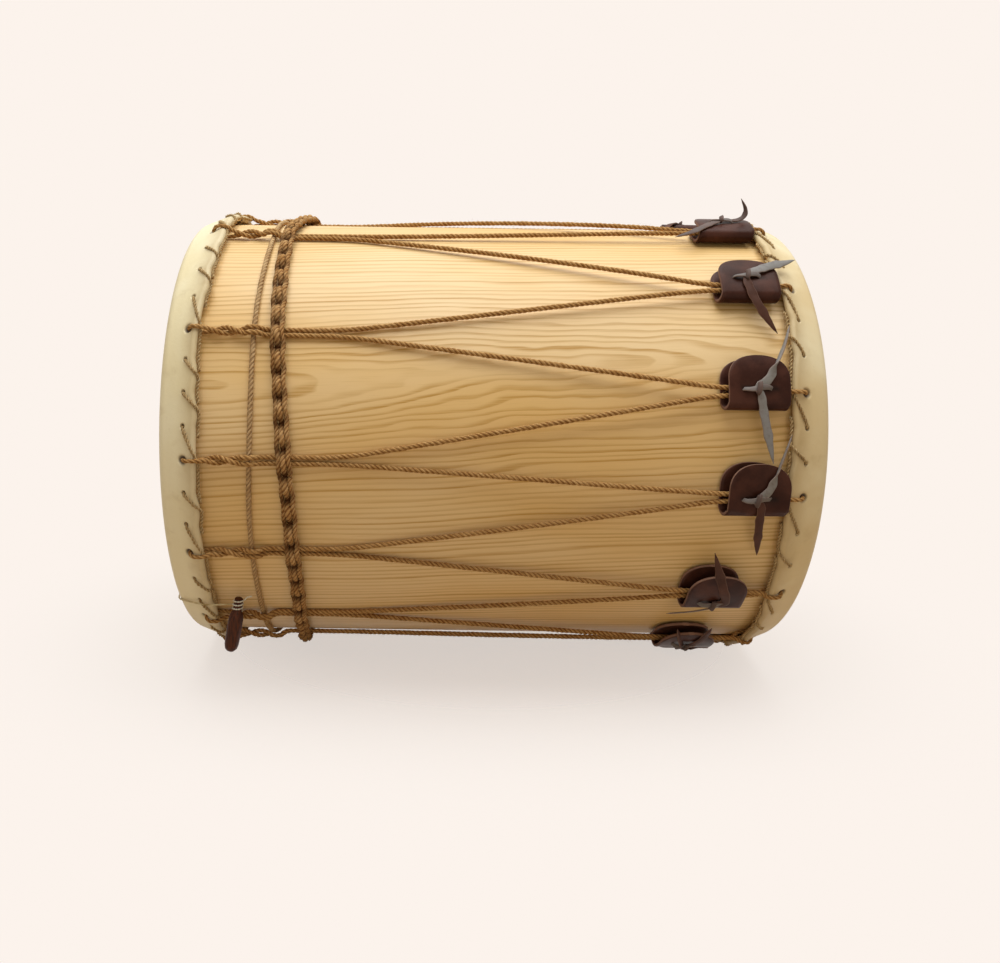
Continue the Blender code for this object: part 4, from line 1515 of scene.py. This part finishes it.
def tug_looks() -> list[TugLook]:
    """Describe how each tug lies.

    Returns:
        The looks in the tugs' order: eight for the seen side, four that repeat some of these,
        and the last with a tail of its own.
    """
    looks = [
        TugLook((Tail(((0.004, 0.002, 0.001), (0.0166, 0.002, 0.0006), (0.021, 0.004, 0.0066),
                       (0.0162, 0.006, 0.0152)), 0.0036, 0.5, 0.2),
                 Tail(((0.0025, 0.0003, 0.0012), (-0.0104, -0.0095, 0.001),
                       (-0.0218, -0.0170, 0.0002), (-0.0324, -0.0173, -0.0033)), flesh=0.3)),
                0.0024, 0.0),
        TugLook((Tail(((0.0051, 0.0015, 0.0014), (0.0202, 0.0071, 0.0022),
                       (0.0371, 0.0145, 0.0017)), 0.0054, 0.2, 0.9),
                 Tail(((0.0012, -0.0052, 0.0014), (0.005, -0.0187, 0.0012),
                       (0.0117, -0.0284, -0.0033), (0.0188, -0.0368, -0.0078)), 0.0056)),
                0.0028, -0.0008),
        TugLook((Tail(((-0.0005, -0.0023, 0.0012), (0.0054, -0.0011, 0.0016),
                       (0.0113, 0.0086, 0.0022), (0.0178, 0.0209, 0.0027),
                       (0.0223, 0.0332, 0.0032)), 0.0056, 1.4, 1.0),
                 Tail(((0.0017, -0.0068, 0.0012), (0.0031, -0.0163, 0.0014),
                       (0.0064, -0.0312, 0.0008), (0.0099, -0.0461, 0.0009)), 0.0052, 0.0, 0.85)),
                0.0002, -0.0042),
        TugLook((Tail(((0.0030, -0.0025, 0.0012), (0.0074, 0.0, 0.0016), (0.0102, 0.0065, 0.0022),
                       (0.0136, 0.0156, 0.0026), (0.0198, 0.0327, 0.0032)), twist=1.4, flesh=0.9),
                 Tail(((0.0047, -0.0077, 0.0012), (0.0046, -0.0162, 0.0012),
                       (0.0066, -0.0306, -0.0023), (0.0094, -0.0441, -0.0058)), 0.0052)),
                0.0014, -0.0042, cup=0.0012),
        TugLook((Tail(((0.0094, -0.0062, 0.0014), (0.002, 0.0109, 0.0042),
                       (-0.0073, 0.0351, 0.0062)), 0.0058, 0.2),
                 Tail(((0.0056, -0.0092, 0.0014), (-0.0048, -0.0185, -0.0008),
                       (-0.0236, -0.0300, -0.0058)), twist=0.1, flesh=0.8)),
                0.0, -0.0075, gape=0.004),
    ]
    looks += [TugLook((Tail(first), Tail(second)), slits=0.002) for first, second in (
        (((0.002, 0.0, 0.0012), (0.010, 0.012, 0.001), (0.0130, 0.0255, -0.001)),
         ((-0.001, 0.0, 0.0018), (-0.006, 0.012, 0.0016), (-0.0100, 0.0235, -0.001))),
        (((0.002, 0.0, 0.0008), (0.006, 0.012, 0.0006), (0.0100, 0.0260, -0.002)),
         ((-0.001, 0.0, 0.0012), (-0.005, 0.012, 0.0008), (-0.0090, 0.0240, -0.002))),
        (((0.002, -0.002, 0.0008), (0.004, -0.016, 0.0004), (0.0060, -0.0330, -0.003)),
         ((-0.001, -0.002, 0.0012), (-0.003, -0.016, 0.0008), (-0.0050, -0.0370, -0.003))),
    )]
    leaf = Tail(((-0.002, -0.004, 0.0012), (-0.011, -0.0170, 0.0010), (-0.0190, -0.0280, -0.0080),
                 (-0.0346, -0.0300, -0.0046)))
    last = TugLook((looks[3].tails[0], leaf))
    return looks + [looks[k] for k in (3, 1, 2, 3)] + [last]


@dataclass
class Tug:
    """A leather tug folded round a rope pair, and the thong that laces it shut."""

    drum: Drum
    index: int
    look: TugLook
    finishes: Finishes
    arch: float = 0.0150
    arch_steps: int = 18
    squareness: float = 2.35
    flat_steps: int = 5
    slit_half: float = 0.0090
    bulge: float = 0.0016
    lip: float = 0.0005
    fold_steps: int = 12
    cross_points: int = 19
    thong_sink: float = 0.0007
    sink_reach: tuple[float, float] = (0.011, 0.004)
    # The reach of the painted shadow at the slits' ends, along the tug and round it
    slit_mark: tuple[float, float] = (0.0022, 0.0013)
    slit_shade: float = 0.0019
    bar_points: int = 21
    hitch_points: int = 25
    tail_step: float = 0.0012
    cup_reach: float = 0.018
    sharp: float = 75.0

    # A thong's section: shares of its width and thickness
    CORNERS = ((-0.5, 0.2), (-0.42, 0.5), (0.0, 0.42), (0.42, 0.5), (0.5, 0.2),
               (0.5, -0.2), (0.42, -0.5), (0.0, -0.58), (-0.42, -0.5), (-0.5, -0.2))

    def __post_init__(self) -> None:
        """Name the tug and its body."""
        self.word = f"{self.index + 1:02d}"
        self.body = "tug_" + self.word

    def lifted(self, local: Array) -> Array:
        """Turn places on the tug into points.

        Args:
            local: An array whose last axis is (x, shift round the shell, rise), from its middle.

        Returns:
            An array of the same shape that holds points in the frame.
        """
        middle = self.drum.tug_places[self.index] + self.look.slide
        route = [middle + local[..., 0],
                 self.drum.tug_angles[self.index] + local[..., 1] / self.drum.radius, local[..., 2]]
        return self.drum.lift(np.stack(route, axis=-1))

    def flap(self, fold: float) -> list[tuple[float, float]]:
        """Draw a flap's outline, from its arched free end to its fold.

        Args:
            fold: The shift at which the fold starts.

        Returns:
            The flap's (shift, half length) rows.
        """
        end, half, power = (self.drum.sizes.tug_width / 2, self.drum.sizes.tug_length / 2,
                            self.squareness)
        quarter = math.pi / 2 / self.arch_steps
        arch = [math.sin(quarter * k) for k in range(self.arch_steps)][::-1]
        flat = np.linspace(end - self.arch, fold, self.flat_steps + 1)
        rows = [(end, half * (1 - 0.9985 ** power) ** (1 / power))]
        rows += [(end - self.arch + self.arch * a, half * (1 - a ** power) ** (1 / power))
                 for a in arch]
        return rows + [(float(u), half) for u in flat[1:]]

    def swelling(self, shift: Array) -> Array:
        """Return how far the upper flap bulges out at a shift round the shell."""
        share = np.clip(shift / (self.drum.sizes.tug_width / 2), -1, 1)
        return self.bulge * (1 - share ** 2)

    def strap_path(self) -> list[tuple[float, float, float, float, float]]:
        """Fold the strap, upper flap first.

        Returns:
            The strap's (shift, rise, facing, half length, skew) rows.
        """
        s, drum, gape = self.drum.sizes, self.drum, self.look.gape
        end = s.tug_width / 2
        fold = -end + drum.channel / 2 + s.leather
        upper, lower = drum.tug_top - s.leather / 2, drum.tug_floor + s.leather / 2
        middle, reach = (upper + lower) / 2, (upper - lower) / 2
        flap = self.flap(fold)
        rows = []
        for u, half in flap:
            parted = gape * max(0.0, (u - fold) / (end - fold)) ** 1.6
            rows.append((u, upper + parted + float(self.swelling(u)), math.pi / 2, half, 0.5))
        for k in range(1, self.fold_steps):
            share = k / self.fold_steps
            facing = math.pi / 2 + math.pi * share
            swell = float(self.swelling(fold)) * (1 - share)
            rows.append((fold + reach * math.cos(facing),
                         middle + reach * math.sin(facing) + swell, facing, s.tug_length / 2,
                         0.5 - share))
        return rows + [(u, lower, -math.pi / 2, half, -0.5) for u, half in reversed(flap)]

    def build_strap(self) -> None:
        """Make the folded strap."""
        s, look, count = self.drum.sizes, self.look, self.cross_points
        flat, bare = np.ones(count), np.zeros(count)
        deep = np.concatenate([flat, [0.75, 0.0, -0.75], -flat, [-0.75, 0.0, 0.75]])
        edge = np.concatenate([bare, [0.6, 1.0, 0.6], bare, [0.6, 1.0, 0.6]])
        along, around = self.sink_reach
        shadow_along, shadow_around = self.slit_mark
        rings, slits = [], []
        for shift, rise, facing, half, skew in self.strap_path():
            lip = min(self.lip, half / 4)
            span = np.linspace(-half + lip, half - lip, count)
            rim = np.array([half - 0.4 * lip, half, half - 0.4 * lip])
            x = np.concatenate([span, rim, span[::-1], -rim])
            off = shift - look.slits
            outside = facing == math.pi / 2
            sink = np.zeros_like(x)
            if outside:
                sink = (self.thong_sink * np.exp(-(off / around) ** 2)
                        * np.exp(-(x / along) ** 4))
                sink = sink - look.cup * ((x / self.cup_reach) ** 2 + (off / self.cup_reach) ** 2)
            thick = s.leather / 2 * deep
            rings.append(np.stack([s.tug_skew * skew + x, shift + math.cos(facing) * thick,
                                   rise + (math.sin(facing) * thick - sink)], axis=1))
            # Painted shadow: dark in the slits at the bar's ends, and a painted contact shadow all
            # along under the thong's bar
            far = np.abs(x) - self.slit_half
            hole = np.exp(-((far / shadow_along) ** 2 + (off / shadow_around) ** 2))
            hole = np.maximum(hole, 0.8 * (far < 0) * math.exp(-(off / self.slit_shade) ** 2))
            slits.append(np.where(outside & (deep > 0.5), hole, 0.0))
        local = np.array(rings)
        edges = np.tile(edge, (len(rings), 1))
        edges[[0, -1]] = 1.0
        values = {"edge": edges, "slit": np.array(slits), "flesh": np.zeros(edges.shape)}
        Surface.swept(self.lifted(local), values).settle(
            "tug_strap_" + self.word, self.finishes.tug, self.body, "tug_" + self.word, self.sharp)

    def ribbon(self, middle: Array, width: Array, twist: Array, flesh: float) -> Surface:
        """Cut a flat strip of leather along a line in the tug's own (x, shift, rise).

        Args:
            middle: The strip's middle line.
            width: Its width at each point.
            twist: How far it is turned out of the tug's face at each point.
            flesh: How much of its grey side shows.

        Returns:
            The strip's surface.
        """
        ahead = unit(np.gradient(middle, axis=0))
        side = np.empty_like(middle)
        carried = np.cross((0.0, 0.0, 1.0), ahead[0])
        for k, way in enumerate(ahead):
            carried = unit(carried - way * float(carried @ way))
            side[k] = carried
        normal = np.cross(ahead, side)
        across = side * np.cos(twist)[:, None] + normal * np.sin(twist)[:, None]
        out = np.cross(ahead, across)
        thick = np.minimum(self.drum.sizes.thong * 0.9, width * 0.6)
        rings = np.stack([middle + across * (a * width)[:, None] + out * (b * thick)[:, None]
                          for a, b in self.CORNERS], axis=1)
        shape = rings.shape[:2]
        edge = np.broadcast_to([0.6 if abs(a) == 0.5 else 0.12 for a, _ in self.CORNERS], shape)
        values = {"edge": edge, "slit": np.zeros(shape), "flesh": np.full(shape, flesh)}
        return Surface.swept(self.lifted(rings), values)

    def tail(self, tail: Tail) -> Surface:
        """Cut one tail, from the knot over the flap to its pointed tip.

        Args:
            tail: How the tail lies.

        Returns:
            The tail's surface.
        """
        top = self.drum.tug_top
        route = np.array(tail.route) - (self.look.slide, 0.0, -top)
        knot = np.array([(0.0, self.look.slits, top + 0.0010)])
        middle = resampled(rounded(np.vstack([knot, route]), 3), self.tail_step)
        beside = np.abs(middle[:, 0]) / (self.drum.sizes.tug_length / 2)
        middle[:, 2] += self.swelling(middle[:, 1]) * np.clip(1.5 - beside, 0, 0.5) * 2
        share = np.linspace(0, 1, len(middle))
        width = tail.width * np.minimum(1, 0.5 + 3.5 * share)
        width = width * np.clip((1 - share) / 0.34, 0.05, 1) ** 0.8
        width = width * (1 + 0.06 * np.sin(23 * share) + 0.04 * np.sin(41 * share + 1))
        turned = eased(np.clip((share - 0.25) / 0.25, 0, 1))
        return self.ribbon(middle, width, tail.twist * turned, tail.flesh)

    def build_thong(self) -> None:
        """Make the thong: a bar between the slits, a hitch round it and two tails."""
        slits = self.look.slits
        top = self.drum.tug_top - 0.0004 + self.drum.sizes.thong / 2 + float(self.swelling(slits))
        share = np.linspace(-1, 1, self.bar_points)
        bar = np.stack([self.slit_half * share, slits + 0.0006 * np.sin(3 * share),
                        top + 0.0016 * (1 - share ** 4) - 0.0014 * share ** 8], axis=1)
        turn = np.linspace(0.15 * math.pi, 1.85 * math.pi, self.hitch_points)
        hitch = np.stack([0.0012 * np.cos(turn * 0.5), slits + 0.0031 * np.sin(turn),
                          top + 0.0022 - 0.0015 * np.cos(turn)], axis=1)
        made = self.ribbon(bar, 0.0032 - 0.0010 * share ** 2, 0.5 * np.sin(2 * share), 0.55)
        made = made.joined(self.ribbon(hitch, np.full_like(turn, 0.0028), np.zeros_like(turn), 0.2))
        for tail in self.look.tails:
            made = made.joined(self.tail(tail))
        made.press()
        made.settle("thong_lace_" + self.word, self.finishes.thong, self.body,
                    "thong_" + self.word, self.sharp)

    def build(self) -> None:
        """Make the tug and its thong."""
        self.build_strap()
        self.build_thong()


@dataclass
class Snare:
    """The gut across the left head, the toggle that hangs on it and the toggle's whipping."""

    drum: Drum
    head: Head
    finishes: Finishes
    angle: float = math.radians(-35.3)
    inset: float = 0.0432
    rise: float = 0.0094
    tilt: float = math.radians(10.3)
    rim_angle: float = math.radians(-41.0)
    far_angle: float = math.radians(146.8)
    length: float = 0.038
    above: float = 0.0045
    thick: float = 0.0098
    neck: float = 0.0056
    peg_sides: int = 28
    peg_sharp: float = 45.0
    twine: float = 0.0011
    turns: int = 3
    turn_steps: int = 24
    whipping_foot: float = -0.0044
    whipping_height: float = 0.0078
    gut_radius: float = 0.0006
    gut_rim_steps: int = 8
    gut_end_gap: float = 0.0012

    def __post_init__(self) -> None:
        """Find the point that the toggle hangs by."""
        route = np.array((self.drum.along(Side.LEFT, self.inset), self.angle, self.rise))
        self.hinge = self.drum.lift(route)

    def hung(self, points: Array) -> Array:
        """Turn points of the upright toggle, from its hinge, into points of the frame."""
        return points @ np.array(Matrix.Rotation(self.tilt, 3, "Y")).T + self.hinge

    def build_toggle(self) -> None:
        """Whittle the peg: a neck for the whipping, a full body and a rounded foot."""
        top, low, body = self.above, self.above - self.length, self.thick / 2
        neck = self.neck / self.thick
        outline = [(top, 0.15), (top, 0.7 * neck), (top - 0.0006, 0.98 * neck), (0.0, neck),
                   (-0.0042, neck * 1.02), (-0.0060, 0.80), (-0.0090, 0.96), (-0.0150, 1.0),
                   (-0.0240, 0.98), (low + 0.0050, 0.95), (low + 0.0022, 0.82),
                   (low + 0.0006, 0.52), (low, 0.15)]
        turn = np.arange(self.peg_sides) * math.tau / self.peg_sides
        rings = []
        for z, share in outline:
            flats = 1 + 0.035 * np.cos(5 * turn + 40 * z) + 0.02 * np.cos(3 * turn - 90 * z)
            around = (body * share * flats)[:, None] * spoke(turn)
            rings.append(self.hung(np.column_stack([around, np.full_like(turn, z)])))
        Surface.swept(np.array(rings)).settle(
            "toggle_peg", self.finishes.peg, TOGGLE_BODY, "snare_toggle", self.peg_sharp)

    def build_whipping(self) -> None:
        """Wind the twine round the toggle's neck and leave its tail free."""
        reach = self.neck / 2 + self.twine / 2 - 0.0001
        t = np.linspace(0, self.turns, self.turn_steps * self.turns + 1)
        climb = self.whipping_foot + self.whipping_height * (t / self.turns)
        coil = np.column_stack([reach * spoke(math.tau * t), climb])
        tail = coil[-1] + np.array([(0.0008, -0.0016, 0.0012), (0.0016, -0.0030, 0.0030),
                                    (0.0030, -0.0036, 0.0044), (0.0052, -0.0034, 0.0050)])
        lay = Lay(self.twine / 2, strands=2, pitch=0.0035, fullness=0.8, step=0.0005, hairs=200,
                  hair_length=0.0015)
        line = resampled(self.hung(rounded(np.vstack([coil, tail]), 2)), lay.step)
        lay.sweep(line).settle("toggle_whipping_twine", self.finishes.whipping, TOGGLE_BODY,
                               "toggle_whipping")

    def build_gut(self) -> None:
        """Stretch the gut from the toggle over the rim, across the head and over the far rim."""
        s, head, drum = self.drum.sizes, self.head, self.drum
        lift = self.gut_radius + s.clearance
        rim = arc(head.corner, head.corner_reach + lift, math.pi, head.square, self.gut_rim_steps)
        stitch = (s.hole_inset, head.skin_rise(s.hole_inset) + lift + s.twine)
        fold, edge = head.hoop + (drum.fold_reach + lift + s.twine) * spoke(np.array((1.4, 0.2)))
        far = np.vstack([rim, stitch, fold, edge])
        near = far[:-1]
        reach = drum.radius + near[:, 1]
        start, drop = reach[0] * math.sin(self.rim_angle), self.hinge[2] - drum.axis_height
        level = np.arcsin((start + (drop - start) * near[:, 0] / self.inset) / reach)
        end = self.hinge - (self.neck / 2 + self.gut_end_gap, 0, 0)
        corners = np.vstack([[end], head.lifted(near[:, 0], level, near[:, 1])[::-1],
                             head.lifted(far[:, 0], self.far_angle, far[:, 1])])
        lay = Lay(self.gut_radius, strands=2, pitch=0.006, fullness=0.25, step=0.0015)
        line = resampled(rounded(corners, 2), lay.step)
        lay.sweep(line).settle("snare_gut_line", self.finishes.gut, DRUM_BODY, "snare_gut")

    def build(self) -> None:
        """Make the snare's pieces."""
        self.build_toggle()
        self.build_whipping()
        self.build_gut()


@dataclass(frozen=True)
class Lamp:
    """A soft square lamp that faces the drum."""

    name: str
    place: Place
    size: float
    power: float
    tone: Colour


@dataclass
class Studio:
    """The floor, the lights and the camera."""

    drum: Drum
    backdrop: Colour = (0.973, 0.896, 0.838)
    floor_tone: Colour = (0.83, 0.77, 0.72)
    floor_half: float = 3.0
    floor_stretch: Place = (0.7, 1.0, 1.0)
    floor_roughness: float = 0.9
    bounce: Colour = (0.50, 0.39, 0.265)
    clear_near: float = 0.64
    fade: tuple[float, float] = (0.08, 0.30)
    room_tone: Colour = (1.0, 0.955, 0.87)
    room_strength: float = 0.31
    lamps: tuple[Lamp, ...] = (
        Lamp("key", (0.02, -0.08, 1.42), 1.25, 22.8, (0.87, 0.945, 1.0)),
        Lamp("fill", (0.10, -1.9, 0.12), 1.3, 6.2, (1.0, 0.94, 0.83)),
    )
    distance: float = 0.7303
    elevation: float = math.radians(11)
    across: float = -0.0378
    focal_pixels: float = 942.0
    sensor: float = 36.0
    roll: float = 0.0145
    frame_pixels: tuple[int, int] = (1000, 963)
    centre_pixel: tuple[float, float] = (432.6, 428.7)

    def build_camera(self) -> None:
        """Set the camera where the photograph was taken from."""
        data = bpy.data.cameras.new("view")
        wide, high = self.frame_pixels
        data.sensor_width = self.sensor
        data.sensor_fit = "HORIZONTAL"
        data.lens = self.focal_pixels / wide * self.sensor
        data.shift_x = (wide / 2 - self.centre_pixel[0]) / wide
        data.shift_y = (self.centre_pixel[1] - high / 2) / wide
        camera = bpy.data.objects.new("view", data)
        back = Vector((0, -math.cos(self.elevation), math.sin(self.elevation)))
        camera.location = Vector((self.across, 0, self.drum.axis_height)) + back * self.distance
        aim = (-back).to_track_quat("-Z", "Y").to_matrix()
        camera.rotation_euler = (aim @ Matrix.Rotation(self.roll, 3, "Z")).to_euler()
        bpy.context.scene.collection.objects.link(camera)
        bpy.context.scene.camera = camera

    def build_floor(self) -> None:
        """Lay a pale floor that keeps the shadow and fades into the backdrop."""
        mesh = bpy.data.meshes.new("floor")
        corners = [(x * self.floor_half, y * self.floor_half, 0)
                   for x, y in ((-1, -1), (1, -1), (1, 1), (-1, 1))]
        mesh.from_pydata(corners, [], [(0, 1, 2, 3)])
        g = Dressing("floor")
        far = g.add("ShaderNodeVectorMath", {"operation": "LENGTH"},
                    {0: g.stretched(g.place(), self.floor_stretch)}, "Value")
        seen = g.backdrop_rays()
        clear = self.clear_near + g.between(far, *self.fade) * (1 - self.clear_near)
        tone = g.mix(seen, self.bounce, self.floor_tone)
        mesh.materials.append(g.finish(tone, self.floor_roughness, Specular_IOR_Level=0.0,
                                       Alpha=1 - seen * clear))
        floor = bpy.data.objects.new("floor", mesh)
        bpy.context.scene.collection.objects.link(floor)

    def build_world(self) -> None:
        """Fill the room with a soft warm light behind a pale backdrop."""
        world = bpy.data.worlds.new("room")
        world.use_nodes = True
        bpy.context.scene.world = world
        tree = world.node_tree
        tree.nodes.remove(tree.nodes["Background"])
        g = Graph(tree)
        soft, plain = (g.add("ShaderNodeBackground", None, {"Color": tone, "Strength": strength})
                       for tone, strength in ((self.room_tone, self.room_strength),
                                              (self.backdrop, 1.0)))
        seen = g.add("ShaderNodeMixShader", None, {0: g.backdrop_rays(), 1: soft, 2: plain})
        g.feed(tree.nodes["World Output"].inputs["Surface"], seen)

    def build_lamp(self, lamp: Lamp) -> None:
        """Hang a lamp.

        Args:
            lamp: What the lamp is like and where it hangs.
        """
        data = bpy.data.lights.new(lamp.name, "AREA")
        data.size = lamp.size
        data.energy = lamp.power
        data.color = lamp.tone
        hung = bpy.data.objects.new(lamp.name, data)
        hung.location = lamp.place
        ahead = Vector((0, 0, self.drum.axis_height)) - hung.location
        hung.rotation_euler = ahead.to_track_quat("-Z", "Y").to_euler()
        bpy.context.scene.collection.objects.link(hung)

    def build(self) -> None:
        """Set up the studio."""
        bpy.context.scene.view_settings.view_transform = "Standard"
        self.build_camera()
        self.build_floor()
        self.build_world()
        for lamp in self.lamps:
            self.build_lamp(lamp)


def main() -> None:
    """Build the studio and every piece of the drum."""
    logging.basicConfig(level=logging.INFO, format="%(name)s: %(message)s")
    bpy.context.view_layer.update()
    drum = Drum.from_frame()
    finishes = Finishes.build(drum)
    Studio(drum).build()
    Shell(drum, finishes).build()
    heads = {
        Side.LEFT: Head(drum, Side.LEFT, drum.node_angles, finishes),
        Side.RIGHT: Head(drum, Side.RIGHT, drum.rope_angles, finishes, tan=0.8),
    }
    for head in heads.values():
        head.build()
    Ropes(drum, heads, finishes).build()
    for index, look in enumerate(tug_looks()):
        Tug(drum, index, look, finishes).build()
    Snare(drum, heads[Side.LEFT], finishes).build()


if __name__ == "__main__":
    main()
